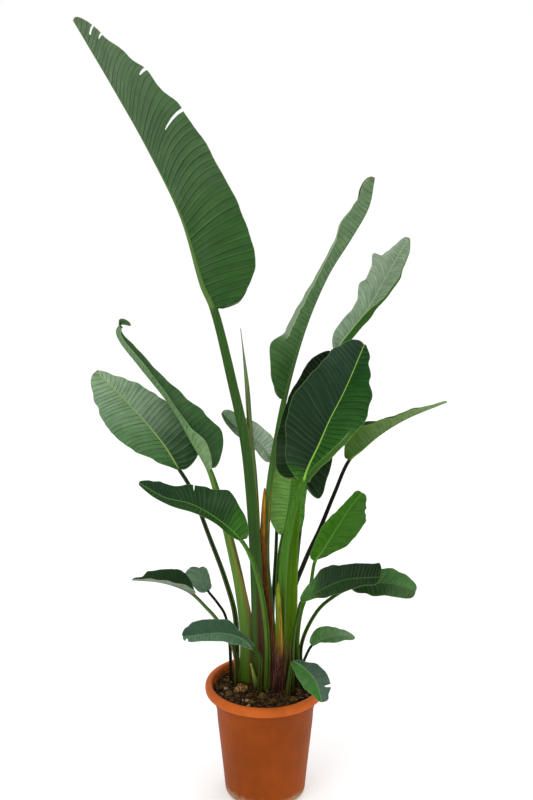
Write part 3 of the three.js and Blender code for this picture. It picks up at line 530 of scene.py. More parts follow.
class StageSettings(bpy.types.PropertyGroup):
    floor_colour: FloatVectorProperty(
        name="Floor", description="Pale studio floor", subtype="COLOR", default=(0.88, 0.88, 0.88))
    camera_side: size_setting("Camera side", "Distance of the camera to the right of the pot's middle", 0.003)
    camera_height: size_setting("Camera height", "Height of the camera", 1.63)
    camera_distance: size_setting("Camera distance", "Distance in front of the pot", 2.6)
    camera_pitch: FloatProperty(
        name="Camera pitch", description="Angle that the camera looks down", default=math.radians(15.8),
        subtype="ANGLE")
    lens: FloatProperty(
        name="Lens", description="Focal length on a 36 mm tall picture", default=59.535, unit="CAMERA")
    key_power: lamp_setting("Key light", "Power of the large front light", 30)
    fill_power: lamp_setting("Fill light", "Power of the side light", 8)
    back_power: lamp_setting("Back light", "Power of the light behind", 16)
    sky: FloatProperty(name="Sky", description="Strength of the even white surround", default=1.0, min=0)


class PlantSettings(bpy.types.PropertyGroup):
    pot: PointerProperty(type=PotSettings, name="Pot", description="Sizes and colours of the pot")
    soil: PointerProperty(type=SoilSettings, name="Soil", description="Level and colours of the soil")
    leaf: PointerProperty(type=LeafSettings, name="Leaves", description="Relief and colours of the leaves")
    stage: PointerProperty(type=StageSettings, name="Stage", description="Floor, camera and lights")


class Wire:
    """An output socket that takes Python's operators, each of which adds a Math node."""

    def __init__(self, shader, socket):
        self.shader = shader
        self.socket = socket

    def __add__(self, other):
        return self.shader.math("ADD", self, other)

    def __sub__(self, other):
        return self.shader.math("SUBTRACT", self, other)

    def __rsub__(self, other):
        return self.shader.math("SUBTRACT", other, self)

    def __mul__(self, other):
        return self.shader.math("MULTIPLY", self, other)

    def __pow__(self, other):
        return self.shader.math("POWER", self, other)

    def __abs__(self):
        return self.shader.math("ABSOLUTE", self)

    def __gt__(self, other):
        return self.shader.math("GREATER_THAN", self, other)

    __radd__ = __add__
    __rmul__ = __mul__


class Shader:
    """A material whose nodes are added by the methods below."""

    def __init__(self, name):
        self.material = bpy.data.materials.new(name)
        self.material.use_nodes = True
        self.tree = self.material.node_tree
        self.tree.nodes.clear()

    def node(self, kind, settings=None, sockets=None, output=0):
        """Adds a node, sets it up, fills its sockets with values or links, and gives one of its outputs."""
        made = self.tree.nodes.new("ShaderNode" + kind)
        for key, value in (settings or {}).items():
            setattr(made, key, value)
        for key, value in (sockets or {}).items():
            if isinstance(value, Wire):
                self.tree.links.new(value.socket, made.inputs[key])
            elif isinstance(value, tuple) and made.inputs[key].type == "RGBA":
                made.inputs[key].default_value = (*value, 1)
            else:
                made.inputs[key].default_value = value
        return Wire(self, made.outputs[output]) if made.outputs else None

    def math(self, operation, first, second=0.0):
        return self.node("Math", {"operation": operation}, {0: first, 1: second})

    def step(self, low, high, value):
        """0 below low, 1 above high, smooth between."""
        sockets = {"Value": value, "From Min": low, "From Max": high}
        return self.node("MapRange", {"interpolation_type": "SMOOTHSTEP"}, sockets)

    def mix(self, first, second, factor, blend="MIX"):
        """Colours mixed by a factor."""
        settings = {"data_type": "RGBA", "blend_type": blend}
        return self.node("Mix", settings, {0: factor, 6: first, 7: second}, 2)

    def times(self, colour, shade):
        """A colour made darker or lighter by shares of its red, green and blue."""
        return self.mix(colour, shade, 1.0, "MULTIPLY")

    def varied(self, colour, dark, light, factor):
        """A colour that goes from a darker to a lighter shade of itself."""
        return self.mix(self.times(colour, dark), self.times(colour, light), factor)

    def stretch(self, vector, scale):
        return self.node("VectorMath", {"operation": "MULTIPLY"}, {0: vector, 1: scale})

    def join(self, x, y, z):
        return self.node("CombineXYZ", None, {0: x, 1: y, 2: z})

    def split(self, vector):
        return [self.node("SeparateXYZ", None, {0: vector}, i) for i in range(3)]

    def position(self):
        return self.node("TexCoord", None, None, 3)

    def grain(self, vector, scale, detail=2.0, roughness=0.5):
        sockets = {"Vector": vector, "Scale": scale, "Detail": detail, "Roughness": roughness}
        return self.node("TexNoise", None, sockets)

    def kept(self, name):
        """A vector kept on the mesh under a name."""
        return self.split(self.node("Attribute", {"attribute_name": name}, None, 1))

    def bump(self, height, distance, strength=1.0):
        return self.node("Bump", None, {"Height": height, "Distance": distance, "Strength": strength})

    def finish(self, colour, roughness, normal=None, glow=None, through=0.0, specular=0.5, more=None):
        """Ends the material in a Principled shader, with light through it where glow is given."""
        sockets = {"Base Color": colour, "Roughness": roughness, "Specular IOR Level": specular}
        sockets |= more or {}
        if normal is not None:
            sockets["Normal"] = normal
        surface = self.node("BsdfPrincipled", None, sockets)
        if glow is not None:
            behind = self.node("BsdfTranslucent", None, {"Color": glow})
            surface = self.node("MixShader", None, {0: through, 1: surface, 2: behind})
        self.node("OutputMaterial", None, {"Surface": surface})
        return self.material


def ease(x):
    return x * x * (3 - 2 * x)


def ramp(low, high, x):
    return ease(np.clip((x - low) / (high - low), 0, 1))


def between(values, x):
    """Reads evenly spaced values at x from 0 to 1, eased from each to the next. A lone value stays."""
    values = np.atleast_1d(np.asarray(values, float))
    if len(values) == 1:
        values = np.repeat(values, 2, axis=0)
    last = len(values) - 1
    place = np.clip(x, 0, 1) * last
    i = np.minimum(place.astype(int), last - 1)
    f = ease(place - i)
    if values.ndim > 1:
        f = f[:, None]
    return values[i] * (1 - f) + values[i + 1] * f


def quarter_circle(x):
    return np.sqrt(np.maximum(1 - (1 - np.clip(x, 0, 1)) ** 2, 0))


def unit(v):
    return v / np.maximum(np.linalg.norm(v, axis=-1, keepdims=True), 1e-12)


def around(angle):
    """Level directions at angles about an upright line."""
    return np.stack([np.cos(angle), np.sin(angle), 0 * angle], -1)


class Curve:
    """A smooth curve through points, read by its length."""

    steps = 40

    def __init__(self, points):
        p = np.asarray(points, float)
        ends = np.vstack([2 * p[0] - p[1], p, 2 * p[-1] - p[-2]])
        pieces = []
        for i in range(len(p) - 1):
            a, b, c, d = ends[i : i + 4]
            ab, bc, cd = (np.linalg.norm(q) ** 0.5 for q in (b - a, c - b, d - c))
            leave = ((b - a) / ab - (c - a) / (ab + bc) + (c - b) / bc) * bc
            arrive = ((c - b) / bc - (d - b) / (bc + cd) + (d - c) / cd) * bc
            t = np.linspace(0, 1, self.steps, endpoint=False)[:, None]
            cubic = (2 * (b - c) + leave + arrive) * t**3
            pieces.append(b + leave * t + (3 * (c - b) - 2 * leave - arrive) * t**2 + cubic)
        self.points = np.vstack([*pieces, p[-1:]])
        gaps = np.linalg.norm(np.diff(self.points, axis=0), axis=1)
        self.lengths = np.concatenate([[0], np.cumsum(gaps)])
        self.total = self.lengths[-1]

    def at(self, length):
        return np.stack([np.interp(length, self.lengths, self.points[:, k]) for k in range(3)], -1)

    def along(self, length):
        near = self.total * 0.004
        before, after = (self.at(np.clip(length + step, 0, self.total)) for step in (-near, near))
        return unit(after - before)


def leaf_curve(leaf):
    """The curve from the foot of a leaf to its tip, and its length up to the blade."""
    curve = Curve(leaf["stalk"] + leaf["rib"])
    return curve, curve.lengths[len(leaf["stalk"]) * Curve.steps]


def stalk_radius(leaf, t):
    """Radius of the stalk below the blade, and of the midrib on it, at places from -1 by 0 to 1."""
    thin, thick = leaf["stem"]
    low = thin + (thick - thin) * np.clip(-t, 0, 1) ** leaf["taper"]
    return np.where(t < 0, low, RIB_TIP + (thin - RIB_TIP) * (1 - np.clip(t, 0, 1)) ** 3)


def row_places(leaf):
    """Places along the leaf from -1 at the foot, by 0 at the blade, to 1 at the tip, closer at the tears."""
    s = np.linspace(0, 1, leaf["rows"])
    blade = 0.55 * s + 0.45 * (0.5 - 0.5 * np.cos(np.pi * s))
    places = np.concatenate([np.linspace(-1, 0, STALK_ROWS, endpoint=False), blade])
    for _, at, _, gap in leaf["tears"]:
        places = places[np.abs(places - at) > 1.15 * gap]
        close = np.array([-1, -0.9, -0.75, -0.5, -0.25, 0, 0.25, 0.5, 0.75, 0.9, 1])
        places = np.concatenate([places, at + gap * close])
    return np.sort(places)


class LeafShape:
    """The rings of points of one leaf in millimetres, and what its material reads at each point.

    place is the place along the leaf from -1 to 1, the place across it and the number of the side vein there.
    look is 1 on the underside, the distance from the midrib in its radii, and the distance to the margin.
    """

    rib_columns = np.array([0, 0.35, 0.7, 1, 1.3])
    belly_angles = np.radians(np.linspace(78, -78, 11))
    least_width = 1.2
    widest_hem = 0.8

    def __init__(self, leaf, settings, seed):
        self.leaf = leaf
        self.settings = settings
        self.phase = np.random.default_rng(seed).uniform(0, 2 * np.pi, 7)
        self.t = t = row_places(leaf)
        self.u = np.clip(t, 0, 1)
        curve, start = leaf_curve(leaf)
        length = np.where(t < 0, start * (1 + t), start + (curve.total - start) * self.u)
        self.distance = (length - start)[:, None]
        self.centre, self.along = curve.at(length), curve.along(length)
        up = between(leaf["up"], self.u)
        self.up = unit(up - (up * self.along).sum(1, keepdims=True) * self.along)
        self.side = np.cross(self.along, self.up)
        self.radius = stalk_radius(leaf, t)
        self.middle = len(self.rib_columns) + leaf["across"]

    def stalk_side(self, sign):
        """Width and fold of one side of the stalk's channel, which runs out on the blade."""
        leaf, t = self.leaf, self.t
        width = stalk_radius(leaf, np.minimum(t, -1e-9)) * np.where(t < 0, 1, np.exp(-60 * self.u))
        fold = leaf["channel"]
        wing_side, wing_width, wing_fold = leaf["wing"]
        if sign == wing_side:
            wing = ramp(-0.3, -0.95, t)
            width = width + wing_width * wing
            fold = fold + (wing_fold - fold) * np.clip(3 * wing, 0, 1)
        return width, fold

    def margin_share(self, sign):
        """The share of the width that the margin reaches: less in the tears, and a little uneven."""
        t = self.t
        reach = np.ones(len(t))
        for tear_side, at, uncut, gap in self.leaf["tears"]:
            if tear_side == sign:
                inside = np.abs(t - at) <= gap * 1.001
                open_share = np.clip(np.abs(t - at) / gap, 0, 1) ** 2.6
                reach = np.where(inside, uncut + (1 - uncut) * open_share, reach)
        return reach * (1 + 0.006 * np.sin(37 * t + self.phase[0]) + 0.004 * np.sin(91 * t + self.phase[1]))

    def half(self, sign, shape):
        """One half of the top of the leaf, in columns from the midrib to the margin."""
        t, u = self.t, self.u
        root = np.exp(-40 * u)
        rounding = quarter_circle(u / shape["neck"]) * quarter_circle((1 - u) / shape["point"])
        blade = np.where(t > 0, shape["width"] * between(shape["shape"], u) * rounding, 0)
        channel, channel_fold = self.stalk_side(sign)
        width = np.maximum(blade + channel, self.least_width)
        fold = np.radians(channel_fold * root + between(shape["fold"], u) * (1 - root))
        curl = np.radians(15 * root + between(shape["curl"], u) * (1 - root)) + 1e-4
        edge = width * self.margin_share(sign)
        rib = np.minimum(self.radius * np.where(t < 0, 0.8, 0.5) + 0.4, 0.35 * edge)
        inner = rib[:, None] * self.rib_columns
        share = np.linspace(0, 1, self.leaf["across"] + 1)[1:] ** 0.95
        hem = np.minimum(self.widest_hem, 0.1 * edge)
        spread = inner[:, -1:] + (edge - hem - inner[:, -1])[:, None] * share
        far = np.concatenate([inner, spread, edge[:, None]], 1)
        v = far / width[:, None]
        w, f, c = width[:, None], fold[:, None], curl[:, None]
        out = w * (np.sin(f + c * v) - np.sin(f)) / c
        rise = w * (np.cos(f) - np.cos(f + c * v)) / c
        waving = shape["wave"] * np.sin(2 * np.pi * MARGIN_WAVES * u[:, None] + v) * v**2
        rise = rise + waving * (blade / shape["width"])[:, None]
        arch = between(self.leaf["arch"], u)[:, None]
        arched, straight = 1 - (1 - v) ** 2, (v - v**8 / 8) * 8 / 7
        shift = (blade * between(shape["sweep"], u))[:, None] * (straight + arch * (arched - straight))
        points = self.centre[:, None] + sign * self.side[:, None] * out[..., None]
        points = points + self.up[:, None] * rise[..., None] + self.along[:, None] * shift[..., None]
        return dict(points=points, far=far, v=v, rib=rib, edge=edge, blade=blade)

    def relief(self, v, far, rib_radius, size):
        """How far pleats, ruffles and the midrib lift the top, and the number of each place's side vein."""
        settings, phase, distance = self.settings, self.phase, self.distance
        on_blade = ramp(0, 0.05, self.t)[:, None]
        out = np.abs(v)
        wobble = 0.35 * np.sin(distance / 37 + 2.3 * out + phase[2]) + 0.25 * np.sin(distance / 17 + phase[3])
        turns = distance / self.leaf["veins"] + wobble + 0.37 * np.sign(v)
        pleat = np.sin(2 * np.pi * turns) * ramp(0.02, 0.2, out) * (1 - 0.75 * ramp(0.5, 1.0, out))
        lift = settings.pleat / MM * pleat * (0.35 + 0.65 * size) * on_blade
        uneven = (
            np.sin(distance / 29 + 3 * v + phase[4]) + 0.7 * np.sin(distance / 13 - 2 * v + phase[5])
            + 0.5 * np.sin(distance / 61 + 4 * v + phase[6])
        )
        lift += settings.ruffle / MM * 0.5 * uneven * out**1.6 * on_blade * (0.25 + 0.75 * size)
        lift += 0.3 * rib_radius * np.clip(1 - (far / rib_radius) ** 2, 0, 1) * on_blade
        return lift, turns

    def underside(self, top, normal, far):
        """The points under the top, by the thickness of the blade or of the stalk's walls."""
        t, radius = self.t, self.radius
        base = (0.45 * self.leaf["stem"][0] + 0.3) * np.exp(-40 * self.u)
        skin = np.where(t < 0, 0.45 * radius + 1, self.settings.thickness / MM + base)
        beyond = np.where(t[:, None] < 0, np.clip(2 * far / radius[:, None] - 2, 0, 1), 0)
        return top - normal * (skin[:, None] * (1 - beyond) + beyond)[..., None]

    def rings(self):
        """Rings round the leaf: over the top, back under one half, round the midrib and under the other."""
        left, right = (self.half(sign, shape) for sign, shape in zip((-1, 1), self.leaf["halves"]))
        middle, keep = self.middle, len(self.rib_columns)

        def join(key, sign=1):
            return np.concatenate([sign * left[key][:, ::-1], right[key][:, 1:]], 1)

        top, v, far = join("points"), join("v", -1), join("far")
        normal = unit(np.cross(np.gradient(top, axis=0), np.gradient(top, axis=1)))
        turn = np.sign((normal[:, middle] * self.up).sum(1))
        normal *= np.where(turn == 0, 1, turn)[:, None, None]
        rib_radius = np.minimum(left["rib"], right["rib"])[:, None]
        size = np.clip(np.maximum(left["blade"], right["blade"]) / 90, 0, 1)[:, None]
        lift, turns = self.relief(v, far, rib_radius, size)
        top = top + normal * lift[..., None]
        under = self.underside(top, normal, far)
        across = self.side[:, None] * (0.9 * self.radius[:, None] * np.sin(self.belly_angles))[..., None]
        below = self.up[:, None] * (self.radius[:, None] * np.cos(self.belly_angles))[..., None]
        belly = self.centre[:, None] + across - below
        first, second = under[:, middle + keep - 1 :][:, ::-1], under[:, : middle - keep + 2][:, ::-1]
        ring = np.concatenate([top, first, belly, second], 1)
        last, bulge = top.shape[1], len(self.belly_angles)
        order = [*range(last), *range(last - 1, middle + keep - 2, -1)]
        order += [middle] * bulge + [*range(middle - keep + 1, -1, -1)]
        sides = (left["edge"], middle), (right["edge"], last - middle)
        edge = np.concatenate([np.repeat(values[:, None], count, 1) for values, count in sides], 1)
        flat = np.zeros((len(self.t), ring.shape[1]))
        is_under = flat.copy()
        is_under[:, last:] = 1
        place = np.stack([self.t[:, None] + flat, v[:, order], turns[:, order]], -1)
        look = np.stack([is_under, (far / rib_radius)[:, order], (edge - far)[:, order]], -1)
        belly_start = last + first.shape[1]
        look[:, belly_start : belly_start + bulge, 1:] = (0, 50)
        return ring, place, look


def new_piece(node, points, faces, material, kept=None):
    """Makes a mesh object from points in millimetres and ties it to the solid that it stands for."""
    if node not in SLOTS:
        raise RuntimeError("No solid is named " + node)
    name = node + "_fine"
    mesh = bpy.data.meshes.new(name)
    mesh.from_pydata((np.asarray(points, float) * MM).tolist(), [], faces)
    if mesh.validate():
        raise RuntimeError("Faces are missing or doubled in " + name)
    for key, values in (kept or {}).items():
        layer = mesh.attributes.new(key, "FLOAT_VECTOR", "POINT")
        layer.data.foreach_set("vector", np.asarray(values, np.float32).ravel())
    mesh.shade_smooth()
    mesh.materials.append(material)
    piece = bpy.data.objects.new(name, mesh)
    bpy.context.scene.collection.objects.link(piece)
    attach(piece, "root")
    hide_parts(node)


def tube_faces(rows, columns):
    """Quads round a stack of rings, and a cap on each end."""
    i, j = np.meshgrid(np.arange(rows - 1), np.arange(columns), indexing="ij")
    a, b = i * columns + j, i * columns + (j + 1) % columns
    quads = np.stack([a, b, b + columns, a + columns], -1).reshape(-1, 4).tolist()
    quads.append([*range(columns - 1, -1, -1)])
    quads.append([*range((rows - 1) * columns, rows * columns)])
    return quads


def facing_out(points, faces, first=0):
    """The faces turned so that their normals point out of the closed surface, numbered from first on."""
    quads = np.array([f for f in faces if len(f) == 4])
    a, b, c, d = (points[quads[:, k]] for k in range(4))
    volume = (np.cross(b, c) * a).sum() + (np.cross(c, d) * a).sum()
    return [[first + i for i in (f if volume > 0 else reversed(f))] for f in faces]


class LeafSkin(Shader):
    """Waxy blade with side veins, painted shade and highlight along them, midrib, dry margin, and a streaked
    stalk with painted shade on its top.
    """

    def __init__(self, name, leaf, settings):
        super().__init__(name)
        self.leaf = leaf
        self.settings = settings
        self.t, self.across, self.turns = self.kept("place")
        self.under, self.rib_share, self.to_edge = self.kept("look")
        self.place = self.position()
        self.u = self.math("MAXIMUM", self.t, 0.0)
        self.patches = self.grain(self.place, 11.0, 3.0)
        self.mottle = self.grain(self.place, 70.0, 3.0)
        self.out = abs(self.across)
        self.streak = self.along_veins(0.9, 1.4, 9.0, 3.0)
        self.hairs = self.along_veins(9.0, 2.0, 5.0, 2.0)
        self.rib = 1.0 - self.step(0.8, 1.1, self.rib_share)

    def tone(self, code):
        """A leaf colour less the grey that its gloss lays over it."""
        taken = self.settings.depth * self.leaf["sheen"] * 4
        return tuple(max(c - taken, 0.0015) * self.settings.brightness for c in rgb(code))

    def tones(self, codes, share):
        """A colour that goes from the first to the second tone."""
        return self.mix(self.tone(codes[0]), self.tone(codes[1]), share)

    def along_veins(self, close, long, apart, detail):
        """Grain drawn out along the side veins."""
        side = self.math("SIGN", self.across)
        return self.grain(self.join(self.turns * close, self.out * long, side * apart), 1.0, detail)

    def veins(self):
        """Where each side vein's crease and ridge lie: the crease gets painted shade and the ridge a painted
        highlight, and both shape the bump.
        """
        leaf = self.leaf
        wave = self.math("SINE", self.turns * (2 * math.pi))
        beside = self.math("SINE", self.turns * (2 * math.pi) - 1.25)
        fade = 1.0 - self.out * leaf["fade"]
        strength = self.step(0.2, 0.75, self.along_veins(0.55, 0.8, 3.0, 1.0))
        crease_from, ridge_from = (0.45, 0.1) if leaf["lines"] < 1 else (0.68, 0.72)
        crease_shade = self.step(crease_from, 0.95, wave) * fade * (0.4 + strength * 0.6)
        ridge = self.step(ridge_from, 1.0, beside) * fade * (0.25 + strength * 0.75)
        return crease_shade, ridge

    def greens(self):
        """The greens of the two halves and of the underside, before the veins."""
        leaf = self.leaf
        along = self.step(0.05, 0.95, self.u + self.patches * 0.3 - 0.15)
        face = self.mix(self.tones(leaf["left"], along), self.tones(leaf["right"], along), self.across > 0.0)
        colour = self.mix(face, self.tones(leaf["under"], along), self.under)
        if leaf["base"]:
            code, reach = leaf["base"]
            past_base = self.step(reach * 0.4, reach, self.u + self.patches * 0.08)
            colour = self.mix(self.tone(code), colour, past_base)
        light = self.step(0.3, 0.75, self.streak * 0.7 + self.mottle * 0.3)
        return self.varied(colour, (0.72, 0.76, 0.72), (1.2, 1.17, 1.15), light)

    def stripped(self, colour):
        """The colour with a band beside the margin, which a light line ends."""
        side, code, wide, first, last = self.leaf["strip"]
        inward = (1.0 - self.u) ** 1.5 * wide
        from_line = self.to_edge + self.grain(self.place, 60.0, 2.0) * 6.0 - 3.0 - inward
        where = self.step(first, first + 0.05, self.u) * self.step(last + 0.05, last, self.u)
        where = where * (self.across * side > 0.0)
        colour = self.mix(colour, self.tone(code), self.step(0.5, -0.5, from_line) * where)
        line = self.step(1.3, 0.4, abs(from_line))
        return self.mix(colour, tuple(self.settings.margin), line * where * 0.6)

    def blade(self, crease_shade, ridge):
        """The colour of the blade with painted shade and highlight along its veins, painted gloss in patches,
        midrib, margin and dry tip.
        """
        leaf, settings = self.leaf, self.settings
        painted_highlight, margin = tuple(settings.painted_highlight), tuple(settings.margin)
        colour = self.greens()
        # Painted shade in the creases of the side veins.
        dark = self.times(colour, (0.18, 0.24, 0.18))
        colour = self.mix(colour, dark, crease_shade * min(leaf["contrast"], 1.0))
        # Painted highlight on the ridge beside each side vein.
        ridge_highlight_share = ridge * (0.03 + self.streak * 0.24) * (leaf["contrast"] * leaf["lines"])
        colour = self.mix(colour, painted_highlight, ridge_highlight_share)
        # Painted gloss highlight in patches.
        colour = self.mix(colour, painted_highlight, self.step(0.5, 0.8, self.patches) * leaf["wax"])
        light = self.times(colour, (1.25, 1.25, 1.2))
        colour = self.mix(colour, light, self.step(0.5, 0.8, self.hairs) * 0.4)
        if leaf["strip"]:
            colour = self.stripped(colour)
        colour = self.mix(colour, self.mix(self.tone(leaf["rib_colour"]), colour, 0.15), self.rib)
        colour = self.mix(colour, margin, (1.0 - self.step(0.5, 1.1, self.to_edge)) * 0.3)
        tip = self.step(0.985, 1.0, self.t + self.mottle * 0.012)
        return self.mix(colour, tuple(settings.withered), tip * 0.4)

    def stalk(self, on_blade):
        """The colour of the stalk with its fibres, painted shade on its top, dry hem and stained side."""
        leaf, down = self.leaf, 0.0 - self.t
        fibres = self.grain(self.stretch(self.place, (1.0, 1.0, 0.03)), 260.0, 2.0)
        colour = self.tones(leaf["stem_colour"], self.step(0.25, 0.95, down))
        colour = self.varied(colour, (0.86, 0.86, 0.86), (1.18, 1.18, 1.12), self.step(0.3, 0.7, fibres))
        # Painted shade: the top of the stalk, inside its channel, a little darker than its round underside.
        colour = self.mix(colour, self.times(colour, (0.93, 0.95, 0.93)), 1.0 - self.under)
        hem = (1.0 - self.step(0.3, leaf["hem_reach"], self.to_edge)) * (1.0 - on_blade)
        hem_colour = self.mix(rgb("6f7a2c"), rgb("6e3a1c"), self.step(0.25, 0.7, down))
        colour = self.mix(colour, hem_colour, hem * self.step(0.05, 0.4, down) * leaf["hem"])
        if leaf["stain"]:
            code, start = leaf["stain"]
            x, _, z = self.split(self.place)
            stained = self.step(0.56, 0.38, z) * self.step(start, start + 0.01, x + fibres * 0.008)
            colour = self.mix(colour, rgb(code), stained * 0.85)
        return colour

    def skin(self):
        """The finished material."""
        crease_shade, ridge = self.veins()
        on_blade = self.step(-0.012, 0.012, self.t)
        speck = self.grain(self.place, 420.0, 2.0)
        colour = self.mix(self.stalk(on_blade), self.blade(crease_shade, ridge), on_blade)
        roughness = 0.4 + self.patches * 0.14 + speck * 0.06 + self.rib * 0.06
        height = ridge * 0.5 - crease_shade * 0.4 + self.streak * 0.4 + self.hairs * 0.22 + speck * 0.05
        through = on_blade * (1.0 - self.rib) * 0.12
        normal = self.bump(height, 0.0006, 0.8)
        return self.finish(colour, roughness, normal, tuple(self.settings.glow), through, self.leaf["sheen"])


def sheath_material(name, sheath):
    """Dry sheath with fine lengthwise fibres, lighter towards its tip and redder at its torn edges."""
    m = Shader(name)
    share, edge, _ = m.kept("place")
    position = m.position()
    fibres = m.grain(m.stretch(position, (1.0, 1.0, 0.04)), 700.0, 3.0)
    patches = m.grain(position, 60.0, 3.0)
    place = share + patches * 0.2 - 0.1
    colour = m.mix(rgb(sheath["foot"]), rgb(sheath["middle"]), m.step(0.35, 0.75, place))
    colour = m.mix(colour, rgb(sheath["tip"]), m.step(0.68, 0.95, place))
    colour = m.mix(colour, rgb(sheath["hem"]), m.step(0.7, 1.0, edge))
    colour = m.varied(colour, (0.5, 0.48, 0.46), (1.45, 1.4, 1.35), m.step(0.3, 0.7, fibres))
    bump = m.bump(fibres + patches * 0.4, 0.0008)
    return m.finish(colour, 0.55 + fibres * 0.3, bump, rgb(sheath["tip"]), 0.1, 0.1)


def rod_material(name, rod):
    """Smooth rolled leaf, lighter along the seam where its margin ends."""
    m = Shader(name)
    share, seam, _ = m.kept("place")
    fibres = m.grain(m.stretch(m.position(), (1.0, 1.0, 0.03)), 320.0, 2.0)
    colour = m.mix(rgb(rod["low"]), rgb(rod["high"]), m.step(0.35, 0.8, share))
    colour = m.mix(colour, rgb(rod["tip"]), m.step(0.93, 0.99, share))
    colour = m.varied(colour, (0.75, 0.75, 0.72), (1.3, 1.28, 1.2), m.step(0.3, 0.7, fibres))
    colour = m.mix(colour, rgb("8a7a34"), m.step(0.9, 1.0, seam) * 0.7)
    return m.finish(colour, 0.4 + fibres * 0.15, m.bump(fibres, 0.0004))


def pot_material(settings):
    """Satin terracotta-coloured plastic, lighter on the rim and dusty towards the foot."""
    m = Shader("terracotta_plastic")
    body, rim, dust = (tuple(c) for c in (settings.body_colour, settings.rim_colour, settings.dust_colour))
    position = m.position()
    x, y, z = m.split(position)
    cloud = m.grain(position, 9.0, 4.0, 0.6)
    grit = m.grain(position, 160.0, 4.0, 0.6)
    speck = m.grain(position, 900.0, 2.0)
    runs = m.grain(m.stretch(position, (1.0, 1.0, 0.08)), 45.0, 3.0)
    colour = m.mix(body, rim, m.step(0.238, 0.243, z))
    colour = m.varied(colour, (0.84, 0.82, 0.8), (1.1, 1.1, 1.12), m.step(0.3, 0.7, cloud))
    colour = m.mix(colour, m.times(colour, (0.8, 0.78, 0.76)), m.step(0.5, 0.75, runs) * 0.5)
    ragged = m.grain(position, 30.0, 5.0, 0.65)
    low_dust = (1.0 - m.step(0.012, 0.03, z + ragged * 0.05 - 0.02)) * m.step(0.25, 0.5, grit)
    colour = m.mix(colour, dust, low_dust * 0.8)
    colour = m.mix(colour, dust, m.step(0.55, 0.85, grit * 0.5 + cloud * 0.5) * 0.08)
    radius = m.math("SQRT", x * x + y * y)
    inner = m.step(0.1165, 0.1125, radius) * m.step(0.24, 0.245, z)
    colour = m.mix(colour, rgb("4a2e1c"), inner * m.step(0.4, 0.6, grit) * 0.8)
    # Lighter patches on the upper part of the rim.
    rim_top_patches = m.step(0.6, 0.75, m.grain(position, 38.0, 4.0, 0.65)) * m.step(0.25, 0.258, z)
    colour = m.mix(colour, rgb("dd8a5c"), rim_top_patches * 0.5)
    roughness = 0.42 + cloud * 0.14 + low_dust * 0.2 + speck * 0.06
    return m.finish(colour, roughness, m.bump(grit * 0.5 + speck * 0.3, 0.0003, 0.7), specular=0.08)


def soil_material(settings):
    """Dark peaty mix with dry crumbs, pale bits and golden flecks on the clods."""
    m = Shader("potting_mix")
    tint, pale, flecked = m.kept("place")
    position = m.position()
    crumbs = m.grain(position, 260.0, 5.0, 0.7)
    clumps = m.grain(position, 60.0, 3.0)
    mixed = m.step(0.42, 0.95, crumbs * 0.7 + clumps * 0.25 + tint * 0.28)
    colour = m.mix(tuple(settings.dark), tuple(settings.light), mixed)
    bits = m.step(0.6, 0.68, m.grain(position, 480.0, 2.0)) * m.step(0.42, 0.58, clumps)
    colour = m.mix(colour, tuple(settings.pale), bits * 0.6)
    flecks = m.step(0.56, 0.62, m.grain(position, 330.0, 2.0)) * flecked
    colour = m.mix(m.mix(colour, tuple(settings.pale), pale), rgb("cf9c58"), flecks)
    return m.finish(colour, 0.88, m.bump(crumbs + m.grain(position, 900.0, 3.0) * 0.5, 0.002), specular=0.1)


def turned(profile, sides):
    """Points and faces of a profile of (radius, height), with its ends on the axis, turned about the axis."""
    (_, foot_height), *middle, (_, crown_height) = profile
    angle = 2 * np.pi * np.arange(sides) / sides
    r, z = np.array(middle).T
    x, y = r[:, None] * np.cos(angle), r[:, None] * np.sin(angle)
    ring = np.stack([x, y, np.repeat(z[:, None], sides, 1)], -1)
    rows = len(middle)
    points = np.vstack([ring.reshape(-1, 3), [[0, 0, foot_height], [0, 0, crown_height]]])
    i, j = np.meshgrid(np.arange(rows - 1), np.arange(sides), indexing="ij")
    a, b = i * sides + j, i * sides + (j + 1) % sides
    faces = np.stack([a, b, b + sides, a + sides], -1).reshape(-1, 4).tolist()
    foot, crown = rows * sides, rows * sides + 1
    faces += [[foot, (k + 1) % sides, k] for k in range(sides)]
    top = (rows - 1) * sides
    faces += [[crown, top + k, top + (k + 1) % sides] for k in range(sides)]
    return points, faces


def rounded(corners, pieces=5):
    """A profile with its corners eased: each corner is (radius, height, size of the rounding)."""
    done = []
    for i, (r, z, size) in enumerate(corners):
        here = np.array([r, z], float)
        if size == 0 or i in (0, len(corners) - 1):
            done.append(tuple(here))
            continue
        before, after = np.array(corners[i - 1][:2]), np.array(corners[i + 1][:2])
        a = here + unit(before - here) * min(size, 0.45 * np.linalg.norm(before - here))
        b = here + unit(after - here) * min(size, 0.45 * np.linalg.norm(after - here))
        for k in range(pieces + 1):
            s = k / pieces
            done.append(tuple((1 - s) ** 2 * a + 2 * s * (1 - s) * here + s**2 * b))
    return done


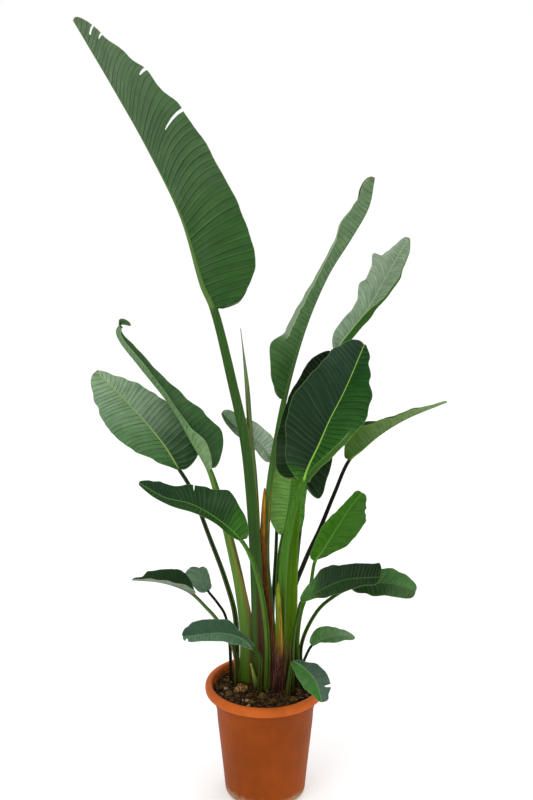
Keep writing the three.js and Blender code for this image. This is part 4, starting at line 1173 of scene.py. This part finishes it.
class PLANT_OT_stage(bpy.types.Operator):
    """Sets up the pale floor, the soft lights and the camera"""

    bl_idname = "plant.stage"
    bl_label = "Stage"

    def floor(self, settings):
        """A floor that reaches out of sight, a hair under the pot's foot."""
        size, level = 2000.0, -0.0005
        corners = [(x * size, y * size, level) for x, y in ((-1, -1), (1, -1), (1, 1), (-1, 1))]
        mesh = bpy.data.meshes.new("floor")
        mesh.from_pydata(corners, [], [(0, 1, 2, 3)])
        m = Shader("studio_floor")
        light = tuple(min(c * 1.04, 1) for c in settings.floor_colour)
        colour = m.mix(tuple(settings.floor_colour), light, m.grain(m.position(), 0.6, 2.0))
        lit = {"Emission Color": (1.0, 1.0, 1.0), "Emission Strength": 0.12}
        mesh.materials.append(m.finish(colour, 0.8, specular=0.2, more=lit))
        return bpy.data.objects.new("floor", mesh)

    def lamp(self, name, power, width, spot, aim):
        """A square light of a width, at a spot and turned towards its aim."""
        data = bpy.data.lights.new(name, "AREA")
        data.energy = power
        data.size = width
        lamp = bpy.data.objects.new(name, data)
        lamp.location = spot
        lamp.rotation_euler = (Vector(aim) - Vector(spot)).to_track_quat("-Z", "Y").to_euler()
        return lamp

    def camera(self, settings):
        """The camera in front of the pot, looking down at it."""
        data = bpy.data.cameras.new("camera")
        data.sensor_fit = "VERTICAL"
        data.sensor_height = 36
        data.lens = settings.lens
        camera = bpy.data.objects.new("camera", data)
        camera.location = (settings.camera_side, -settings.camera_distance, settings.camera_height)
        camera.rotation_euler = (math.pi / 2 - settings.camera_pitch, 0, 0)
        return camera

    def execute(self, context):
        scene = context.scene
        s = scene.plant.stage
        floor, camera = self.floor(s), self.camera(s)
        lamps = [
            self.lamp("key_light", s.key_power, 1.8, (-1.6, -2.4, 2.9), (0.0, 0.0, 0.8)),
            self.lamp("fill_light", s.fill_power, 2.0, (2.6, -1.6, 1.6), (0.0, 0.0, 0.7)),
            self.lamp("back_light", s.back_power, 1.6, (1.2, 2.2, 3.0), (0.0, 0.0, 0.9)),
        ]
        for thing in (floor, *lamps, camera):
            scene.collection.objects.link(thing)
        world = bpy.data.worlds.new("studio")
        world.use_nodes = True
        background = world.node_tree.nodes["Background"]
        background.inputs["Color"].default_value = (1.0, 1.0, 1.0, 1.0)
        background.inputs["Strength"].default_value = s.sky
        scene.world = world
        scene.camera = camera
        scene.view_settings.view_transform = "Standard"
        return {"FINISHED"}


class PLANT_OT_leaves(bpy.types.Operator):
    """Builds every leaf with its stalk"""

    bl_idname = "plant.leaves"
    bl_label = "Leaves"

    def execute(self, context):
        settings = context.scene.plant.leaf
        for seed, (name, leaf) in enumerate(LEAVES.items()):
            ring, place, look = LeafShape(leaf, settings, seed + 11).rings()
            rows, columns = ring.shape[:2]
            points = ring.reshape(-1, 3)
            faces = facing_out(points, tube_faces(rows, columns))
            material = LeafSkin(name + "_skin", leaf, settings).skin()
            kept = {"place": place.reshape(-1, 3), "look": look.reshape(-1, 3)}
            new_piece(name, points, faces, material, kept)
        return {"FINISHED"}


class PLANT_OT_sheaths(bpy.types.Operator):
    """Wraps the old sheaths round the feet of the stalks"""

    bl_idname = "plant.sheaths"
    bl_label = "Sheaths"

    rows = 90
    parts = 72
    strand_rows = 16
    strand_thickness = 0.45

    def wrap(self, sheath, curve, start, rng):
        """The sheath as a bent sheet with a torn top: points, what the material reads there, and faces."""
        parts = self.parts
        leaf = LEAVES[sheath["around"]]
        end = np.interp(sheath["top"], curve.points[:, 2], curve.lengths)
        share = np.linspace(0, 1, self.rows)
        length = share * end
        centre = curve.at(length)
        radius = stalk_radius(leaf, length / start - 1) * 1.05 + sheath["gap"]
        spread = np.radians(sheath["arc"]) / 2 * np.maximum((1 - share) ** sheath["taper"], 0.05)
        across = np.linspace(-1, 1, parts + 1)
        teeth = rng.uniform(0, 1, parts // 3 + 2) ** 1.5
        comb = np.interp(np.arange(parts + 1) / 3, np.arange(len(teeth)), teeth)
        comb = comb + 0.12 * rng.uniform(0, 1, parts + 1)
        angle = np.radians(sheath["turn"]) + spread[:, None] * across
        grooves = np.sin(across * 31 + 2 * np.sin(share[:, None] * 9)) + 0.7 * np.sin(across * 67)
        flare = 2.2 * np.abs(across) ** 6 * (1 - share[:, None])
        out = radius[:, None] + sheath["ridge"] * grooves + flare
        out = out + 5 * sheath["rag"] * (comb - 0.5) * share[:, None] ** 3
        torn = sheath["rag"] * comb + sheath["shoulder"] * np.abs(across + 0.25) ** 1.2
        drop = torn * share[:, None] ** 2 * (sheath["top"] - FOOT)
        outside = centre[:, None] + around(angle) * (out + 1.0)[..., None]
        inside = centre[:, None] + around(angle) * out[..., None]
        for wall in (outside, inside):
            wall[..., 2] -= drop
            wall[0, :, 2] = FOOT
        ring = np.concatenate([outside, inside[:, ::-1]], 1)
        edge = np.abs(np.concatenate([across, across[::-1]]))
        flat = 0 * ring[..., 0]
        place = np.stack([share[:, None] + flat, edge + flat, flat], -1)
        points = ring.reshape(-1, 3)
        faces = facing_out(points, tube_faces(self.rows, len(edge)))
        return points, place.reshape(-1, 3), faces, radius[0]

    def strand(self, sheath, curve, foot, rng):
        """One torn fibre ribbon that stands against the sheath and bends away at its tip."""
        share = np.linspace(0, 1, self.strand_rows)
        reach = rng.uniform(0.35, 1.12) * (sheath["top"] - FOOT)
        height = FOOT + 4 + share * reach
        centre = curve.at(np.interp(height, curve.points[:, 2], curve.lengths))
        angle = np.radians(sheath["turn"] + sheath["arc"] * rng.uniform(-0.5, 0.5))
        angle = angle + rng.uniform(-0.5, 0.5) * share**1.5 + 0.12 * np.sin(5 * share + rng.uniform(0, 6))
        out = foot + rng.uniform(0.5, 2.5) + rng.uniform(-1, 7) * share**2
        face, side = around(angle), around(angle + math.pi / 2)
        middle = centre + face * out[:, None]
        width = (rng.uniform(0.8, 2.4) * (1 - share**2) + 0.25)[:, None]
        thick = face * self.strand_thickness
        ring = np.stack([middle - side * width, middle - thick, middle + side * width, middle + thick], 1)
        tint = rng.uniform(0.2, 1)
        along = np.repeat(share, 4) * 0.7 + 0.3 * tint
        return ring.reshape(-1, 3), np.stack([along, np.full(len(along), tint), 0 * along], -1)

    def execute(self, context):
        for seed, (name, sheath) in enumerate(SHEATHS.items()):
            rng = np.random.default_rng(seed + 5)
            curve, start = leaf_curve(LEAVES[sheath["around"]])
            points, place, faces, foot = self.wrap(sheath, curve, start, rng)
            for _ in range(sheath["strands"]):
                strand, strand_place = self.strand(sheath, curve, foot, rng)
                faces += facing_out(strand, tube_faces(self.strand_rows, 4), len(points))
                points = np.vstack([points, strand])
                place = np.vstack([place, strand_place])
            new_piece(name, points, faces, sheath_material(name + "_skin", sheath), {"place": place})
        return {"FINISHED"}


class PLANT_OT_rods(bpy.types.Operator):
    """Builds the rolled new leaf and the cut stub"""

    bl_idname = "plant.rods"
    bl_label = "New leaf and stub"

    rows = 140
    sides = 36

    def execute(self, context):
        for name, rod in RODS.items():
            curve = Curve(rod["points"])
            share = np.linspace(0, 1, self.rows)
            radius = between(rod["radii"], share)
            angle = -2 * np.pi * np.arange(self.sides) / self.sides
            twist = (angle / (2 * np.pi) + 1.6 * share[:, None]) % 1.0
            out = radius[:, None] * (1 + 0.09 * (twist - 0.5) * (share[:, None] > 0.2))
            points = curve.at(share * curve.total)[:, None] + around(angle) * out[..., None]
            place = np.stack([share[:, None] + 0 * out, twist, 0 * out], -1)
            flat = points.reshape(-1, 3)
            faces = facing_out(flat, tube_faces(self.rows, self.sides))
            new_piece(name, flat, faces, rod_material(name + "_skin", rod), {"place": place.reshape(-1, 3)})
        return {"FINISHED"}


class PLANT_OT_pot(bpy.types.Operator):
    """Turns the tapered pot with its rolled rim"""

    bl_idname = "plant.pot"
    bl_label = "Pot"

    sides = 160
    # The small ledge round the body stands this far under the rim.
    ledge_drop = 34

    def profile(self, settings):
        """The pot's section from the middle of its foot, up the outside, over the rim and down the inside."""
        names = ("height", "rim_radius", "rim_depth", "top_radius", "foot_radius", "wall")
        high, rim, depth, top, foot, wall = (getattr(settings, name) / MM for name in names)
        neck = high - depth
        step = neck - self.ledge_drop

        def body(z):
            return foot + (top - foot) * (z - 8) / (neck - 8)

        outside = [(0, 0, 0), (foot - 7, 0, 3), (foot, 4, 4), *((body(z), z, 0) for z in (60, 120, 170))]
        ledge = [(body(step) - 1.2, step, 0.6), (body(step) + 0.6, step + 2.6, 0.8), (top, neck - 1, 1.2)]
        roll = [
            (rim - 6, neck, 1.5), (rim - 1.2, neck + 3, 3), (rim, neck + 10, 4), (rim - 1.2, neck + 17, 3),
            (rim - 6, high, 3), (rim - 12.5, high, 2), (rim - 15, high - 3, 3), (rim - 17, neck + 9, 2),
            (rim - 18, neck + 2, 2),
        ]
        inside = [(top - wall, neck - 5, 2), *((body(z) - wall, z, 0) for z in (150, 80))]
        floor = [(body(8) - wall, 9, 3), (body(8) - wall - 5, 4, 2), (0, 4, 0)]
        return rounded(outside + ledge + roll + inside + floor)

    def execute(self, context):
        s = context.scene.plant.pot
        points, faces = turned(self.profile(s), self.sides)
        angle = np.arctan2(points[:, 1], points[:, 0])
        warp = 0.25 * np.sin(2 * angle + 0.4) + 0.12 * np.sin(5 * angle + 1.3)
        out = np.hypot(points[:, 0], points[:, 1])
        high = s.height / MM
        grow = np.where(out > 1, 1 + warp * np.clip(points[:, 2] / high, 0, 1) / np.maximum(out, 1), 1)
        points[:, :2] *= grow[:, None]
        new_piece("pot", points, faces, pot_material(s))
        return {"FINISHED"}


class PLANT_OT_soil(bpy.types.Operator):
    """Fills the pot with rough soil, clods and loose crumbs"""

    bl_idname = "plant.soil"
    bl_label = "Soil"

    radius = 112.0
    rings = 70
    sides = 220
    bark_share = 0.06
    pale_share = 0.035
    # Crumbs over this size are rounder, and no crumb lies nearer to the pot's wall than the gap.
    round_size = 2.5
    wall_gap = 3

    def lump(self, at, size, detail, seed, squash=0.75):
        """A rough stone-like lump as points and triangles."""
        mesh = bmesh.new()
        bmesh.ops.create_icosphere(mesh, subdivisions=detail, radius=1.0)
        turn = Matrix.Rotation(seed * 1.7, 3, "Z") @ Matrix.Rotation(seed * 0.9, 3, "X")
        points = []
        for vertex in mesh.verts:
            p = vertex.co.copy()
            bump = 1 + 0.3 * noise.noise(p * 1.3 + Vector((seed, 0, 0)))
            if detail > 2:
                bump += 0.2 * noise.noise(p * 4.5 + Vector((0, seed, 0)))
                bump += 0.14 * noise.noise(p * 11 + Vector((0, 0, seed)))
            p = turn @ (p * bump)
            points.append((at[0] + p.x * size[0], at[1] + p.y * size[1], at[2] + p.z * size[2] * squash))
        mesh.verts.index_update()
        faces = [[v.index for v in f.verts] for f in mesh.faces]
        mesh.free()
        return points, faces

    def bed(self, level):
        """The body of the soil, which follows the pot's inside, with its uneven top."""
        radius, rings = self.radius, self.rings
        profile = [(0, 4.4), (77, 4.4), (84, 12), (99, 200), (104, 233)]
        profile += [(radius - 1, level - 4), (radius, level - 2)]
        for k in range(rings - 1):
            profile.append((radius - 1.0 - radius * k / rings, level - 1.5 + 3.5 * ease(k / rings)))
        profile.append((0, level + 2))
        points, faces = turned(profile, self.sides)
        for i in np.nonzero(points[:, 2] > level - 4)[0]:
            p = Vector(points[i])
            fade = min(1.0, (radius - math.hypot(p.x, p.y)) / 8)
            rough = 3.2 * noise.noise(p * 0.035) + 2.2 * noise.noise(p * 0.11) + 1.2 * noise.noise(p * 0.3)
            points[i, 2] += fade * rough
        return points, faces

    def top(self, x, y, level):
        """The height of the uneven top at a place."""
        p = Vector((x, y, level))
        return level + 1 + 3.2 * noise.noise(p * 0.035) + 2.2 * noise.noise(p * 0.11)

    def crumb(self, k, level, rng):
        """A loose crumb or bit of bark at a random place, with its tint and how pale it is."""
        r, a = (self.radius - self.wall_gap) * math.sqrt(rng.uniform()), rng.uniform(0, 2 * math.pi)
        x, y = r * math.cos(a), r * math.sin(a)
        size = 0.8 + 4.4 * rng.uniform() ** 4
        shape = size * rng.uniform(0.6, 1.4, 3)
        bark = rng.uniform() < self.bark_share
        if bark:
            shape = np.array([rng.uniform(3, 7), rng.uniform(0.8, 1.8), 0.8])
        place = (x, y, self.top(x, y, level) + 0.2 * size)
        points, faces = self.lump(place, shape, 2 if size > self.round_size else 1, k * 0.37)
        pale = 0.75 if rng.uniform() < self.pale_share else (0.35 if bark else 0.0)
        return points, faces, (rng.uniform(0, 1.2), pale, 0.0)

    def execute(self, context):
        s = context.scene.plant.soil
        level = s.level / MM
        rng = np.random.default_rng(3)
        parts = [(*self.bed(level), (0.0, 0.0, 0.0))]
        for k, (place, size, pale, flecked) in enumerate(CLODS):
            lump = self.lump((*place, level + 2), (size, size, size), 4, k + 1.0)
            parts.append((*lump, (1.0, pale, flecked)))
        parts += [self.crumb(k, level, rng) for k in range(s.crumbs)]
        count, faces = 0, []
        for points, part_faces, _ in parts:
            faces += [[i + count for i in face] for face in part_faces]
            count += len(points)
        points = np.vstack([points for points, _, _ in parts])
        kept = np.vstack([np.tile(look, (len(points), 1)) for points, _, look in parts])
        new_piece("soil", points, faces, soil_material(s), {"place": kept})
        return {"FINISHED"}


class PLANT_PT_panel(bpy.types.Panel):
    """Lists the steps that build the plant and their settings"""

    bl_label = "Bird of Paradise"
    bl_space_type = "VIEW_3D"
    bl_region_type = "UI"
    bl_category = "Plant"

    def draw(self, context):
        for step in STEPS:
            self.layout.operator(step.bl_idname)
        for group in ("pot", "soil", "leaf", "stage"):
            settings = getattr(context.scene.plant, group)
            box = self.layout.box()
            box.label(text=group.capitalize())
            for name in type(settings).__annotations__:
                box.prop(settings, name)


STEPS = (PLANT_OT_stage, PLANT_OT_leaves, PLANT_OT_sheaths, PLANT_OT_rods, PLANT_OT_pot, PLANT_OT_soil)
CLASSES = (PotSettings, SoilSettings, LeafSettings, StageSettings, PlantSettings, *STEPS, PLANT_PT_panel)


def register():
    for cls in CLASSES:
        bpy.utils.register_class(cls)
    bpy.types.Scene.plant = PointerProperty(type=PlantSettings)


def unregister():
    del bpy.types.Scene.plant
    for cls in reversed(CLASSES):
        bpy.utils.unregister_class(cls)


def main():
    register()
    bpy.ops.plant.stage()
    bpy.ops.plant.leaves()
    bpy.ops.plant.sheaths()
    bpy.ops.plant.rods()
    bpy.ops.plant.pot()
    bpy.ops.plant.soil()


if __name__ == "__main__":
    main()
